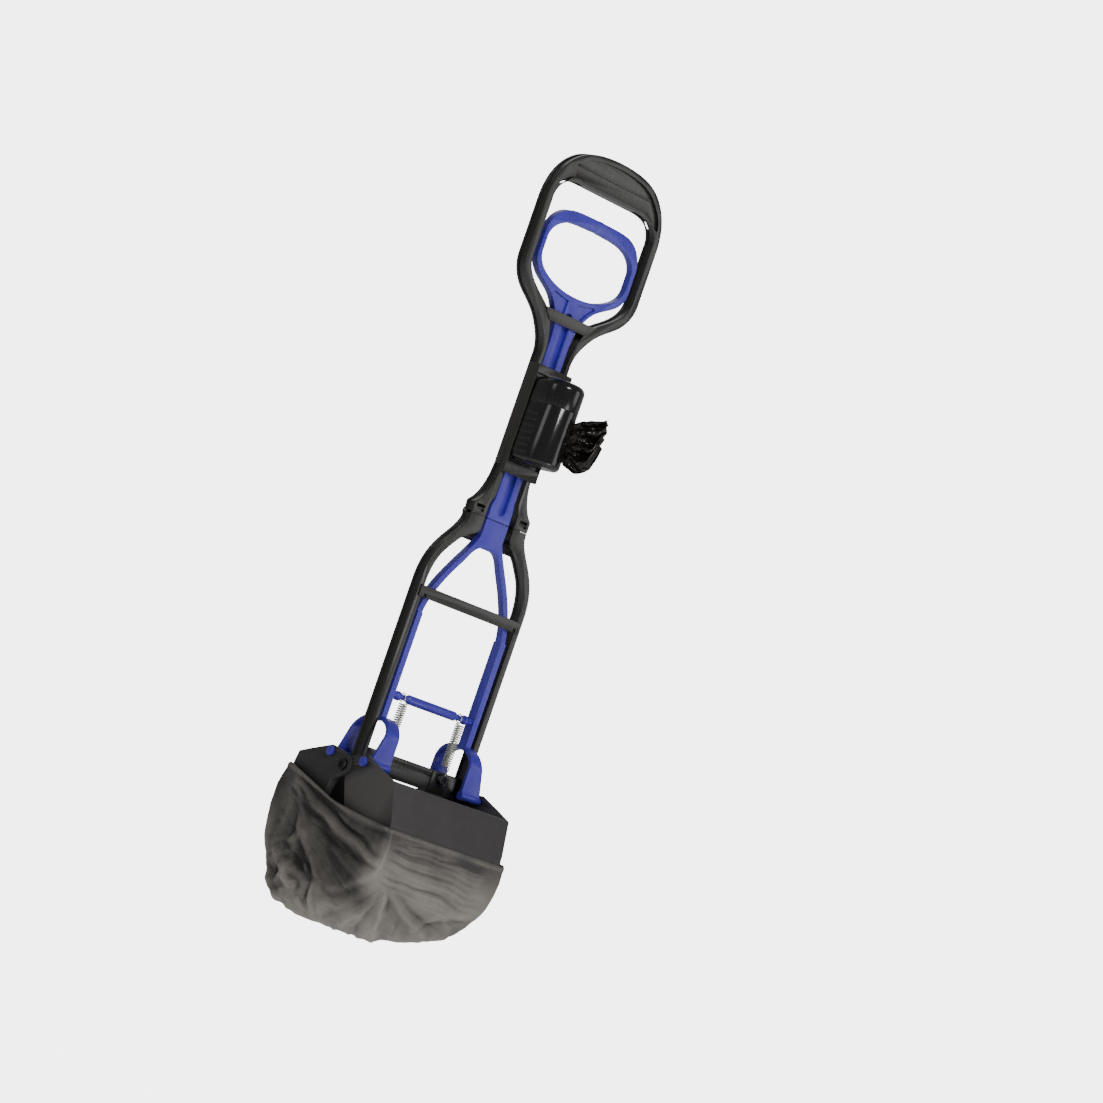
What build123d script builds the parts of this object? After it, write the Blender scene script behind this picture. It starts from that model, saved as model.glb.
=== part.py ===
from build123d import *
import os
from math import cos, hypot, pi, radians, sin, sqrt

# Foldable jaw scooper. Millimetres, +Z up, X along the jaws' axle, the dispenser faces -Y.
# Everything is drawn with heights above the jaws' pivot and moved at export, so that the
# origin ends up on the underside of the grip.

FIT = 0.05
GAP = 0.3
TINY = 0.1
OVERRUN = 1.0
QUARTER = 90.0
SAME_SHARE = 0.001
SPRING_STEPS = 1200

# Heights, added up from the pivot to the top of the grip
LEG_LENGTH = 174.0
LEG_FLARE_RISE = 70.0
KNUCKLE_LOW = 5.9
SEAM_GAP = 0.35
KNUCKLE_HIGH = 10.25
RAIL_FLARE_RISE = 39.5
RAIL_LENGTH = 102.0
SHOULDER_RISE = 80.0
SIDE_LENGTH = 54.0
CROWN_RISE = 58.0
GRIP_RISE = 24.0
LEG_FLARE_HEAD = LEG_LENGTH + LEG_FLARE_RISE
SEAM_BOTTOM = LEG_FLARE_HEAD + KNUCKLE_LOW
SEAM_TOP = SEAM_BOTTOM + SEAM_GAP
RAIL_FLARE_FOOT = SEAM_TOP + KNUCKLE_HIGH
RAIL_FOOT = RAIL_FLARE_FOOT + RAIL_FLARE_RISE
RAIL_HEAD = RAIL_FOOT + RAIL_LENGTH
SIDE_FOOT = RAIL_HEAD + SHOULDER_RISE
SIDE_HEAD = SIDE_FOOT + SIDE_LENGTH
LOOP_TOP = SIDE_HEAD + CROWN_RISE
GRIP_HEIGHT = SIDE_HEAD + GRIP_RISE

# How far the ring is pulled up and let down from the pose that is modelled
PULL_UP = 3.0
PULL_DOWN = 9.9

# Black frames: a section with flanges at the front and the rear and a waist between them
FRAME_HALF = 6.25
FLANGE = 2.5
WAIST_INSET = 1.2
RAIL_OUT = 18.7
RAIL_WIDTH = 4.2
RAIL_IN = RAIL_OUT - RAIL_WIDTH
LOOP_OUT = 71.5
LOOP_WIDTH = 7.0
LOOP_IN = LOOP_OUT - LOOP_WIDTH
KNUCKLE_FLARE = 15.7
KNUCKLE_OUT = RAIL_OUT + KNUCKLE_FLARE
KNUCKLE_WIDTH = 16.2
KNUCKLE_IN = KNUCKLE_OUT - KNUCKLE_WIDTH
NECK_START = 1.5
NECK_RISE = 10.0

# Curves between two named corners: shares of the way across and of the way up
RAIL_FLARE_SHARES = [(0.497, 0.228), (0.79, 0.494), (0.949, 0.772)]
SHOULDER_SHARES = [
    (0.061, 0.212), (0.161, 0.325), (0.316, 0.45), (0.564, 0.579), (0.782, 0.688), (0.934, 0.825),
]
CROWN_SHARES = [(0.021, 0.241), (0.084, 0.474), (0.196, 0.681), (0.357, 0.845), (0.608, 0.957)]
INNER_SHOULDER_SHARES = [
    (0.022, 0.182), (0.076, 0.315), (0.16, 0.43), (0.28, 0.521), (0.47, 0.606), (0.72, 0.709),
    (0.92, 0.836),
]
INNER_CROWN_SHARES = [(0.049, 0.458), (0.246, 0.792), (0.574, 0.958)]

# Grip: the flat part of its underside, the recess in both faces and the ridge in it
GRIP_FLAT = 34.0
GRIP_SOLE = 3.4
GRIP_RECESS_DEPTH = 3.0
GRIP_RECESS_FLAT = 40.0
GRIP_RECESS_EDGE = 5.4
GRIP_RECESS_TIP_SHARES = (0.901, 0.284)
GRIP_RECESS_LOW_SHARES = [(0.492, 0.257), (0.803, 0.908)]
GRIP_RECESS_HIGH_SHARES = [(0.059, 0.291), (0.169, 0.535), (0.325, 0.762), (0.581, 0.934)]
GRIP_RIDGE_WIDTH = 1.6
GRIP_RIDGE_DEPTH = 1.6
GRIP_RIDGE_REACH = 46.0
GRIP_RIDGE_RISE = 11.6

TIE_BAR_RISE = 34.4
TIE_BAR_HEIGHT = 10.2
TIE_BAR_LAP = 1.0
TIE_BAR_PROUD = 1.15

KNUCKLE_SLOT_HEIGHT = 3.0
KNUCKLE_SLOT_RISE = 7.75
KNUCKLE_SLOT_INSET = 3.8
KNUCKLE_SLOT_EDGE = 2.9
KNUCKLE_GROOVE_RISE = 4.35
KNUCKLE_GROOVE_HEIGHT = 2.4
KNUCKLE_GROOVE_DEPTH = 2.0

# Fold hinge at the back of the seam
FOLD_BACK = 2.25
FOLD_RISE = 0.25
FOLD_Y = FRAME_HALF + FOLD_BACK
FOLD_Z = SEAM_TOP + FOLD_RISE
BARREL_R = 4.0
BARREL_CLEAR = 0.5
BARREL_INSET = 0.8
BARREL_LENGTH = 5.5
BARREL_APART = 0.5
BARREL_ROOT_FAR = 14.0
BARREL_ROOT_Y = 3.0
UPPER_BARREL_START = KNUCKLE_IN + BARREL_INSET
UPPER_BARREL = (UPPER_BARREL_START, UPPER_BARREL_START + BARREL_LENGTH)
LOWER_BARREL_START = UPPER_BARREL[1] + BARREL_APART
LOWER_BARREL = (LOWER_BARREL_START, LOWER_BARREL_START + BARREL_LENGTH)
FOLD_PIN_R = 1.6
FOLD_PIN_PROUD = 0.5

# Blue mouldings: half their thickness, and the room between them and the black frames
BLUE_HALF = 4.0
BLUE_ROOM = 0.4
BLUE_BARREL_R = 3.0
MIDDLE_PIN_R = 1.3
SPLIT_UPPER = 0.35
SPLIT_LOWER = 0.15

# Lower frame
LEG_OUT = 64.3
LEG_WIDTH = 6.1
LEG_IN = LEG_OUT - LEG_WIDTH
KNUCKLE_STEP = 0.4
LEG_FLARE_SHARES = [(0.02, 0.186), (0.098, 0.35), (0.268, 0.521), (0.536, 0.693), (0.864, 0.879)]
LEG_VOID_SHARES = [
    (0.018, 0.194), (0.073, 0.336), (0.18, 0.482), (0.355, 0.627), (0.593, 0.784), (0.78, 0.851),
    (0.943, 0.91),
]
LEG_VOID_EDGE = 8.9
LEG_END_R = 7.0
BOSS_LENGTH = 3.9
BRIDGE_GAP = 1.1
BRIDGE_HEIGHT = 10.0
BRIDGE_DEPTH = 4.55
BRIDGE_EDGE = 2.3
BRIDGE_TOP = FOLD_Z - BLUE_BARREL_R - PULL_DOWN - BRIDGE_GAP
BRIDGE_Y = BLUE_HALF + BLUE_ROOM
CROSS_PLATE_DROP = 3.0
CROSS_PLATE_HEIGHT = 25.0
CROSS_PLATE_HALF = 1.6
CROSS_PLATE_RIB = 3.0
CROSS_PLATE_RIB_DEPTH = 3.6
CROSS_PLATE_TOP = CROSS_PLATE_HEIGHT - CROSS_PLATE_DROP
CROSSBAR_DROP = 1.0
CROSSBAR_HEIGHT = 10.4
CROSSBAR_PROUD = 2.35
CROSSBAR_ROOM = 0.7
CROSSBAR_EDGE = 1.8
CROSSBAR_NOTCH = 3.2
CROSSBAR_NOTCH_EDGE = 1.0
CROSSBAR_TOP = LEG_LENGTH - CROSSBAR_DROP
SEAM_PIN_R = 1.3
SEAM_PIN_DROP = 3.3
SEAM_PIN_START = 3.8
SEAM_PIN_END = 3.8

# Springs and what they hang on
SPRING_X = 35.0
SPRING_STANDOFF = 1.3
WIRE = 1.1
COIL_R = 3.7
COIL_TURNS = 19.5
COIL_LEAD_LOW = 12.5
COIL_LEAD_HIGH = 5.3
ANCHOR_INNER = 10.0
ANCHOR_OUTER = 8.5
ANCHOR_HEIGHT = 18.5
ANCHOR_EDGE = 0.5
ANCHOR_THICK = 1.2
ANCHOR_SCREW_DROP = 6.5
SCREW_SHANK_R = 2.0
SCREW_HEAD_R = 4.3
SCREW_HEAD_THICK = 2.2
SCREW_SLOT = 1.0
SCREW_ROOM = 2.75
LOOP_ROOM = 0.6
LOOP_LEAD = 5.0
ANCHOR_FRONT = CROSS_PLATE_HALF + ANCHOR_THICK
SPRING_Y = -ANCHOR_FRONT - SPRING_STANDOFF
ANCHOR_SCREW_Z = CROSS_PLATE_TOP - ANCHOR_SCREW_DROP

# Blue rod and ring
ROD_ROOM = 3.0
ROD_HALF = RAIL_IN - ROD_ROOM
ROD_FOOT_STEP = 1.7
ROD_FOOT_HALF = ROD_HALF + ROD_FOOT_STEP
ROD_FOOT_HEIGHT = 11.4
ROD_NECK_RISE = 8.0
ROD_HEAD_RISE = 10.0
ROD_FOOT = SEAM_TOP + SPLIT_UPPER
ROD_FOOT_TOP = ROD_FOOT + ROD_FOOT_HEIGHT
ROD_HEAD = RAIL_HEAD + ROD_HEAD_RISE
ROD_LUG_HALF = 5.0
ROD_LUG_RISE = 1.9
ROD_REAR_CHAMFER = 1.6
RING_ROOM = 6.5
RING_OUT = LOOP_IN - RING_ROOM
RING_WIDTH = 4.4
RING_IN = RING_OUT - RING_WIDTH
RING_SIDE_RISE = 10.0
FINGER_GAP = 22.0
RING_CROWN_RISE = 30.0
RING_TOP = GRIP_HEIGHT - FINGER_GAP
RING_SIDE = (SIDE_FOOT + RING_SIDE_RISE, RING_TOP - RING_CROWN_RISE)
WEB_HEIGHT = 52.8
RING_HOLE_FLOOR = ROD_HEAD + WEB_HEIGHT
RING_HOLE_DROP = 5.0
RING_BAR_HEIGHT = 11.0
GROOVE_HALF = 4.5
GROOVE_DEPTH = 4.2
GROOVE_LOW = 5.9
GROOVE_HIGH = 15.3
WEB_FLARE_SHARES = [
    (0.011, 0.188), (0.054, 0.325), (0.14, 0.431), (0.258, 0.531), (0.419, 0.613), (0.613, 0.679),
    (0.828, 0.762), (0.966, 0.869),
]
RING_CROWN_SHARES = [(0.06, 0.467), (0.216, 0.8), (0.483, 0.96)]
RING_HOLE_LOW_SHARES = [(0.28, 0.037), (0.513, 0.14), (0.737, 0.32), (0.905, 0.559)]
RING_HOLE_HIGH_SHARES = [(0.039, 0.396), (0.16, 0.688), (0.384, 0.896)]
WEB_RECESS_DEPTH = 2.2
WEB_RECESS_SHARES = [
    (0.112, 0.35), (0.25, 0.438), (0.336, 0.537), (0.466, 0.627), (0.414, 0.642), (0.207, 0.608),
    (0.112, 0.6),
]

# Yoke
YOKE_TOP = SEAM_BOTTOM - SPLIT_LOWER
BLOCK_ROOM = 4.8
BLOCK_HALF = KNUCKLE_IN - BLOCK_ROOM
BLOCK_HEIGHT = 16.75
BLOCK_CROTCH = 10.0
BLOCK_STEP = 4.9
BLOCK_WAIST = YOKE_TOP - BLOCK_HEIGHT
BLOCK_FOOT = BLOCK_WAIST - BLOCK_CROTCH
BLOCK_FOOT_HALF = BLOCK_HALF - BLOCK_STEP
ARM_ROOM = 3.4
ARM_WIDTH = 6.0
ARM_OUT = LEG_IN - ARM_ROOM
ARM_IN = ARM_OUT - ARM_WIDTH
ARM_BEND = 24.0
ARM_STRAIGHT = LEG_LENGTH - ARM_BEND
ARM_DEEP = 5.5
ARM_OUT_SHARES = [(0.075, 0.078), (0.28, 0.241), (0.522, 0.428), (0.739, 0.62), (0.896, 0.801)]
ARM_IN_SHARES = [(0.094, 0.219), (0.268, 0.432), (0.491, 0.644), (0.702, 0.822), (0.851, 0.945)]
NOTCH_ROOM = 0.6
NOTCH_DEPTH = 3.2
YOKE_BARREL = (ROD_LUG_HALF + BLUE_ROOM, BLOCK_HALF - BLUE_ROOM)
YOKE_LUG_DROP = 2.55
YOKE_LUG_EDGE = 0.15
LINK_Y = 24.5
LINK_Z = 8.1
LINK_PIN_R = 2.5
LINK_PIN_LENGTH = 7.5
LINK_HEAD_R = 4.4
LINK_HEAD_THICK = 3.3
LINK_HEAD_ROOM = 0.5
ARCH_LIP = 2.0
ARCH_HALF = LINK_Y + ARCH_LIP
ARCH_STRAP = 3.5
ARCH_EYE_R = 4.0
ARCH_FOOT_RISE = 1.9
ARCH_SIDE_HEIGHT = 23.0
ARCH_CROWN_RISE = 18.6
ARCH_CROWN_THICK = 3.8
ARCH_FOOT = LINK_Z + ARCH_FOOT_RISE
ARCH_SIDE = ARCH_FOOT + ARCH_SIDE_HEIGHT
ARCH_TOP = ARCH_SIDE + ARCH_CROWN_RISE
ARCH_OUTER_SHARES = [(0.045, 0.323), (0.226, 0.688), (0.585, 0.935)]
ARCH_INNER_SHARES = [(0.043, 0.338), (0.239, 0.676), (0.587, 0.932)]
ARCH_LAP = 4.8
ARCH_LEAN = 12.7
ARCH_JOIN = 2.6
BAR_RISE = 21.7
BAR_Z = ARCH_TOP + BAR_RISE
BAR_R = 4.3
BAR_NECK_R = 2.6
BAR_NECK_HALF = 3.7
BAR_NECK_TAPER = 3.0
BAR_COLLAR_STEP = 1.2
BAR_COLLAR = 2.5
BAR_END_R = 3.4
BAR_END_STEP = 1.5
BAR_END_LAP = 1.2

# Jaws, drawn closed: the front jaw lies at negative Y
JAW_ANGLE = 22.5
JAW_WALL = 2.5
JAW_HALF = LEG_OUT + BOSS_LENGTH + GAP + JAW_WALL
JAW_DRAFT = 8.0
JAW_DRAFT_START = 16.0
JAW_DEPTH = 65.0
JAW_FOOT = -114.0
JAW_BACK_SHARES = [(0.154, 1.0), (0.523, 0.93), (0.738, 0.833), (0.877, 0.702), (0.954, 0.526), (1.0, 0.241)]
JAW_MATE = 0.3
EAR_R = 9.5
EAR_CLEAR = 0.6
EAR_TIP = 7.4
EAR_TIP_RISE = 3.6
EAR_TIP_SHARES = [(1.0, 0.28), (0.716, 0.778), (0.338, 1.0)]
EAR_ROOT_SHARES = (0.21, 0.99)
LUG_STANDOFF = 0.2
LUG_THICK = 2.5
LUG = (JAW_HALF + LUG_STANDOFF, JAW_HALF + LUG_STANDOFF + LUG_THICK)
LUG_TAIL_R = 5.0
LUG_TAIL_BACK = 5.0
LUG_TAIL_DROP = 14.0
SLOT_ROOM = 0.5
PIVOT_R = 2.5
PIVOT_HEAD_R = 5.5
PIVOT_HEAD_THICK = 2.7
PIVOT_HEAD_START = LUG[1] + LUG_STANDOFF
PIVOT_HEAD = (PIVOT_HEAD_START, PIVOT_HEAD_START + PIVOT_HEAD_THICK)
PIVOT_HEX = 3.0
PIVOT_HEX_DEPTH = 1.6
PIVOT_NUT_THICK = 3.6
PIVOT_NUT = (LEG_IN - PIVOT_NUT_THICK, LEG_IN)
PIVOT_NUT_R = 5.2

# Bag: a skin on each jaw and the slack pouch between and below them
SKIN_NEAR = 0.35
SKIN_FAR = 1.3
RIM_DROP = 36.0
FRONT_RIM_FALL = 36.5
REAR_RIM_FALL = 3.5
POUCH_CLEAR = 1.7
POUCH_WALL = 1.0
POUCH_SLACK = 15.0
POUCH_DROP = 27.5
POUCH_EDGE = 0.8
POUCH_THROAT_SHARES = (0.181, 0.24)
POUCH_SECTION_SHARES = [
    (1.0, 0.466), (0.988, 0.594), (0.9, 0.714), (0.75, 0.827), (0.525, 0.919), (0.225, 0.986), (0.0, 1.0),
]
POUCH_PLAN_SHARES = [(1.0, 0.24), (0.905, 0.742), (0.783, 0.876), (0.57, 1.0)]
POUCH_MOUTH_HALF = 62.0
POUCH_MOUTH_DEPTH = 10.0
POUCH_REACH = JAW_DEPTH + POUCH_SLACK
POUCH_FOOT = JAW_FOOT - POUCH_DROP
POUCH_HALF = JAW_HALF - POUCH_EDGE
POUCH_THROAT = (POUCH_THROAT_SHARES[0] * POUCH_REACH, POUCH_THROAT_SHARES[1] * POUCH_FOOT)

# Dispenser
TRAY_LIP = 2.0
TRAY_HALF = RAIL_OUT + TRAY_LIP
TRAY_DROP = 6.0
TRAY_THICK = 2.65
TRAY_RIM_DEPTH = 3.0
TRAY_RIM = 1.4
TRAY_BAR = 8.0
TRAY_SHELF = 11.0
TRAY_CLIP_REACH = 8.85
TRAY_Z = (RAIL_FOOT - TRAY_DROP, RAIL_HEAD - TRAY_DROP)
TRAY_BACK = FRAME_HALF + TINY
TRAY_FACE = TRAY_BACK + TRAY_THICK
TRAY_RIM_FRONT = TRAY_FACE + TRAY_RIM_DEPTH
CANISTER_R = 19.0
CANISTER_CENTRE = 31.0
CANISTER_WALL = 1.6
CANISTER_LIFT = 2.0
CANISTER_FILLET = 5.0
CAP_HEIGHT = 25.0
CAP_ROOM = 1.0
CAP_SETBACK = 0.4
CAP_FILLET = 7.0
CAP_TOP = TRAY_Z[1] - TRAY_BAR - CAP_ROOM
CANISTER_Z = (TRAY_Z[0] + TRAY_SHELF + CANISTER_LIFT, CAP_TOP - CAP_HEIGHT)
CANISTER_BACK = TRAY_FACE + TINY
CAP_BACK = TRAY_RIM_FRONT + CAP_SETBACK
SPIGOT = 4.0
SPIGOT_WALL = 1.3
SPIGOT_GAP = 0.15
SLOT_FOOT = 10.0
SLOT_HEAD = 4.0
CANISTER_SLOT = (CANISTER_Z[0] + SLOT_FOOT, CANISTER_Z[1] - SLOT_HEAD)
CANISTER_SLOT_HALF = 1.6
CANISTER_SLOT_ANGLE = 35.0
RIB_COUNT = 7
RIB_HALF = 0.8
RIB_HEIGHT = 0.7
RIB_SETBACK = 4.2
RIB_FOOT = 9.0
RIB_HEAD = 10.0
RIB_Z = (CANISTER_Z[0] + RIB_FOOT, CANISTER_Z[1] - RIB_HEAD)
ROLL_R = 13.5
ROLL_FOOT = 3.0
ROLL_HEAD = 12.0
ROLL_Z = (CANISTER_Z[0] + ROLL_FOOT, CANISTER_Z[1] - ROLL_HEAD)
CORE_R = 5.0
CORE_WALL = 1.4
CORE_PLAY = 0.4
CORE_BORE = CORE_R - CORE_WALL
TAIL_REACH = 31.5
TAIL_HIGH = 8.0
TAIL_LOW = 1.0
TAIL_TUCK = 1.8
TAIL_THICK = 1.2
TAIL_SHARES = [
    (0.013, 0.76), (0.381, 0.86), (0.921, 1.0), (1.0, 0.72), (0.968, 0.44), (0.857, 0.1),
    (0.635, 0.0), (0.222, 0.04), (0.013, 0.1),
]


def along_x(radius, y, z, start, end):
    return Plane.YZ.offset(start).location * Pos(y, z) * extrude(Circle(radius), amount=end - start)


def along_y(radius, x, z, start, end):
    return Plane.XZ.offset(-end).location * Pos(x, z) * extrude(Circle(radius), amount=end - start)


def block(x, y, z):
    size = Box(x[1] - x[0], y[1] - y[0], z[1] - z[0])
    return Pos((x[0] + x[1]) / 2, (y[0] + y[1]) / 2, (z[0] + z[1]) / 2) * size


def front_plate(face, y):
    # A face drawn in X and Z, given depth from y[0] to y[1]
    return Plane.XZ.offset(-y[1]).location * extrude(face, amount=y[1] - y[0])


def side_plate(face, x):
    # A face drawn in Y and Z, given width from x[0] to x[1]
    return Plane.YZ.offset(x[0]).location * extrude(face, amount=x[1] - x[0])


def both_sides(solid):
    return solid + mirror(solid, about=Plane.YZ)


def half_turned(solid):
    return Rot(0, 0, 2 * QUARTER) * solid


def middle_out(half):
    return (-half, half)


def curve(start, end, shares):
    # Points from one corner to another, each placed by its shares of the way across and up
    wide = end[0] - start[0]
    high = end[1] - start[1]
    return [start] + [(start[0] + wide * across, start[1] + high * up) for across, up in shares] + [end]


def scaled(shares, wide, high):
    return [(wide * across, high * up) for across, up in shares]


def reach_at(points, z):
    # How far out a curve's points lie at a height
    for (x, low), (far_x, high) in zip(points, points[1:]):
        if low <= z <= high:
            return x + (far_x - x) * (z - low) / (high - low)
    return points[-1][0]


def symmetric_face(runs):
    # Closes an outline given as runs of its right half, from the axis back to the axis
    edges = []
    for kind, points in runs:
        if kind == "line":
            run = Polyline(*points)
        else:
            run = Spline(*points)
        edges += list(run.edges())
        edges += list(mirror(run, about=Plane.YZ).edges())
    return make_face(edges)


def polygon(points):
    return make_face(Polyline(*points, close=True))


def drawn_in(runs, inset):
    # The same runs with every point moved by the inset to the left of the way along them
    chain = [point for _, points in runs for point in points[:-1]] + [runs[-1][1][-1]]
    moved = []
    for index, (x, z) in enumerate(chain):
        before = chain[index - 1] if index > 0 else (-chain[1][0], chain[1][1])
        after = chain[index + 1] if index + 1 < len(chain) else (-chain[-2][0], chain[-2][1])
        first = (Vector(x, z) - Vector(*before)).normalized()
        second = (Vector(*after) - Vector(x, z)).normalized()
        normal = Vector(-first.Y - second.Y, first.X + second.X).normalized()
        reach = inset / (normal.X * -first.Y + normal.Y * first.X)
        moved.append((x + normal.X * reach, z + normal.Y * reach))
    shifted = []
    start = 0
    for kind, points in runs:
        end = start + len(points)
        shifted.append((kind, moved[start:end]))
        start = end - 1
    return shifted


def flanged(outline, void, half, flange, inset):
    # Full outline at the front and rear, drawn in by the inset between them
    face = symmetric_face(outline) - symmetric_face(void)
    waist = symmetric_face(drawn_in(outline, inset)) - symmetric_face(drawn_in(void, -inset))
    middle = front_plate(waist, middle_out(half - flange))
    front = front_plate(face, (-half, -half + flange))
    rear = front_plate(face, (half - flange, half))
    return front + middle + rear


def knob(y, z, root, far_root, radius, span, root_y, end_y):
    # A barrel on the fold line and the web that joins it to its moulding
    root_face = polygon([(root_y, root), (end_y, root), (end_y, far_root), (root_y, far_root)])
    hull = make_hull((root_face + Pos(y, z) * Circle(radius)).edges())
    return side_plate(hull, span)


def upper_outline():
    flare = curve((KNUCKLE_OUT, RAIL_FLARE_FOOT), (RAIL_OUT, RAIL_FOOT), RAIL_FLARE_SHARES)
    shoulder = curve((RAIL_OUT, RAIL_HEAD), (LOOP_OUT, SIDE_FOOT), SHOULDER_SHARES)
    crown = curve((LOOP_OUT, SIDE_HEAD), (0, LOOP_TOP), CROWN_SHARES)
    foot = [(0, SEAM_TOP), (KNUCKLE_OUT, SEAM_TOP), flare[0]]
    rail = [flare[-1], shoulder[0]]
    side = [shoulder[-1], crown[0]]
    kinds = ("line", "curve", "line", "curve", "line", "curve")
    return list(zip(kinds, (foot, flare, rail, shoulder, side, crown)))


def inner_shoulder():
    return curve((RAIL_IN, RAIL_HEAD), (LOOP_IN, SIDE_FOOT + FLANGE), INNER_SHOULDER_SHARES)


def upper_void():
    neck_foot = RAIL_FLARE_FOOT + NECK_START
    shoulder = inner_shoulder()
    crown = curve((LOOP_IN, SIDE_HEAD), (GRIP_FLAT, GRIP_HEIGHT), INNER_CROWN_SHARES)
    neck = [(0, SEAM_TOP - FLANGE), (KNUCKLE_IN, SEAM_TOP - FLANGE), (KNUCKLE_IN, neck_foot)]
    neck += [(RAIL_IN, neck_foot + NECK_RISE), shoulder[0]]
    side = [shoulder[-1], crown[0]]
    top = [crown[-1], (0, GRIP_HEIGHT)]
    return [("line", neck), ("curve", shoulder), ("line", side), ("curve", crown), ("line", top)]


def grip_recess():
    tip = (LOOP_OUT * GRIP_RECESS_TIP_SHARES[0], SIDE_HEAD + CROWN_RISE * GRIP_RECESS_TIP_SHARES[1])
    corner = (GRIP_RECESS_FLAT, GRIP_HEIGHT + GRIP_SOLE)
    low = curve(corner, tip, GRIP_RECESS_LOW_SHARES)
    high = curve(tip, (0, LOOP_TOP - GRIP_RECESS_EDGE), GRIP_RECESS_HIGH_SHARES)
    return symmetric_face([("line", [(0, corner[1]), corner]), ("curve", low), ("curve", high)])


def tie_bar():
    # Its slanted ends lap onto the two shoulders
    low = RAIL_HEAD + TIE_BAR_RISE
    high = low + TIE_BAR_HEIGHT
    low_half = reach_at(inner_shoulder(), low) + TIE_BAR_LAP
    high_half = reach_at(inner_shoulder(), high) + TIE_BAR_LAP
    return symmetric_face([("line", [(0, low), (low_half, low), (high_half, high), (0, high)])])


def upper_frame():
    body = flanged(upper_outline(), upper_void(), FRAME_HALF, FLANGE, WAIST_INSET)
    recess = grip_recess()
    floor = FRAME_HALF - GRIP_RECESS_DEPTH
    body -= front_plate(recess, (-FRAME_HALF - OVERRUN, -floor))
    body -= front_plate(recess, (floor, FRAME_HALF + OVERRUN))
    ridge_foot = GRIP_HEIGHT + GRIP_SOLE + GRIP_RIDGE_RISE
    ridge_y = middle_out(floor + GRIP_RIDGE_DEPTH)
    body += block(middle_out(GRIP_RIDGE_REACH), ridge_y, (ridge_foot, ridge_foot + GRIP_RIDGE_WIDTH))
    body += block(middle_out(GRIP_FLAT), middle_out(FRAME_HALF), (GRIP_HEIGHT, GRIP_HEIGHT + GRIP_SOLE))
    bar_near = BLUE_HALF + SEAM_GAP
    bar_far = FRAME_HALF + TIE_BAR_PROUD
    body += front_plate(tie_bar(), (-bar_far, -bar_near))
    body += front_plate(tie_bar(), (bar_near, bar_far))
    slot_x = (KNUCKLE_IN + KNUCKLE_SLOT_INSET, KNUCKLE_OUT - KNUCKLE_SLOT_EDGE)
    slot_z = SEAM_TOP + KNUCKLE_SLOT_RISE
    slot_z = (slot_z - KNUCKLE_SLOT_HEIGHT / 2, slot_z + KNUCKLE_SLOT_HEIGHT / 2)
    body -= both_sides(block(slot_x, middle_out(2 * FRAME_HALF), slot_z))
    groove_z = SEAM_TOP + KNUCKLE_GROOVE_RISE
    groove_z = (groove_z - KNUCKLE_GROOVE_HEIGHT / 2, groove_z + KNUCKLE_GROOVE_HEIGHT / 2)
    body -= both_sides(block(slot_x, (-2 * FRAME_HALF, -FRAME_HALF + KNUCKLE_GROOVE_DEPTH), groove_z))
    clear = BARREL_R + BARREL_CLEAR
    body -= both_sides(along_x(clear, FOLD_Y, FOLD_Z, UPPER_BARREL[1] + TINY, 2 * KNUCKLE_OUT))
    root = (FOLD_Z + BARREL_R, FOLD_Z + BARREL_ROOT_FAR)
    barrel = knob(FOLD_Y, FOLD_Z, *root, BARREL_R, UPPER_BARREL, BARREL_ROOT_Y, FRAME_HALF)
    barrel -= along_x(FOLD_PIN_R, FOLD_Y, FOLD_Z, 0, 2 * KNUCKLE_OUT)
    return body + both_sides(barrel)


def fold_hinge_pins():
    span = (UPPER_BARREL[0] - FOLD_PIN_PROUD, LOWER_BARREL[1] + FOLD_PIN_PROUD)
    return both_sides(along_x(FOLD_PIN_R - TINY / 2, FOLD_Y, FOLD_Z, *span))


def lower_outline():
    flare = curve((LEG_OUT, LEG_LENGTH), (KNUCKLE_OUT + KNUCKLE_STEP, LEG_FLARE_HEAD), LEG_FLARE_SHARES)
    side = [(0, 0), (LEG_OUT, 0), flare[0]]
    top = [flare[-1], (KNUCKLE_OUT, SEAM_BOTTOM), (0, SEAM_BOTTOM)]
    return [("line", side), ("curve", flare), ("line", top)]


def lower_void():
    inner = curve((LEG_IN, LEG_LENGTH), (KNUCKLE_IN, SEAM_BOTTOM - LEG_VOID_EDGE), LEG_VOID_SHARES)
    side = [(0, -FLANGE), (LEG_IN, -FLANGE), inner[0]]
    top = [inner[-1], (KNUCKLE_IN, SEAM_BOTTOM + FLANGE), (0, SEAM_BOTTOM + FLANGE)]
    return [("line", side), ("curve", inner), ("line", top)]


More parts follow.
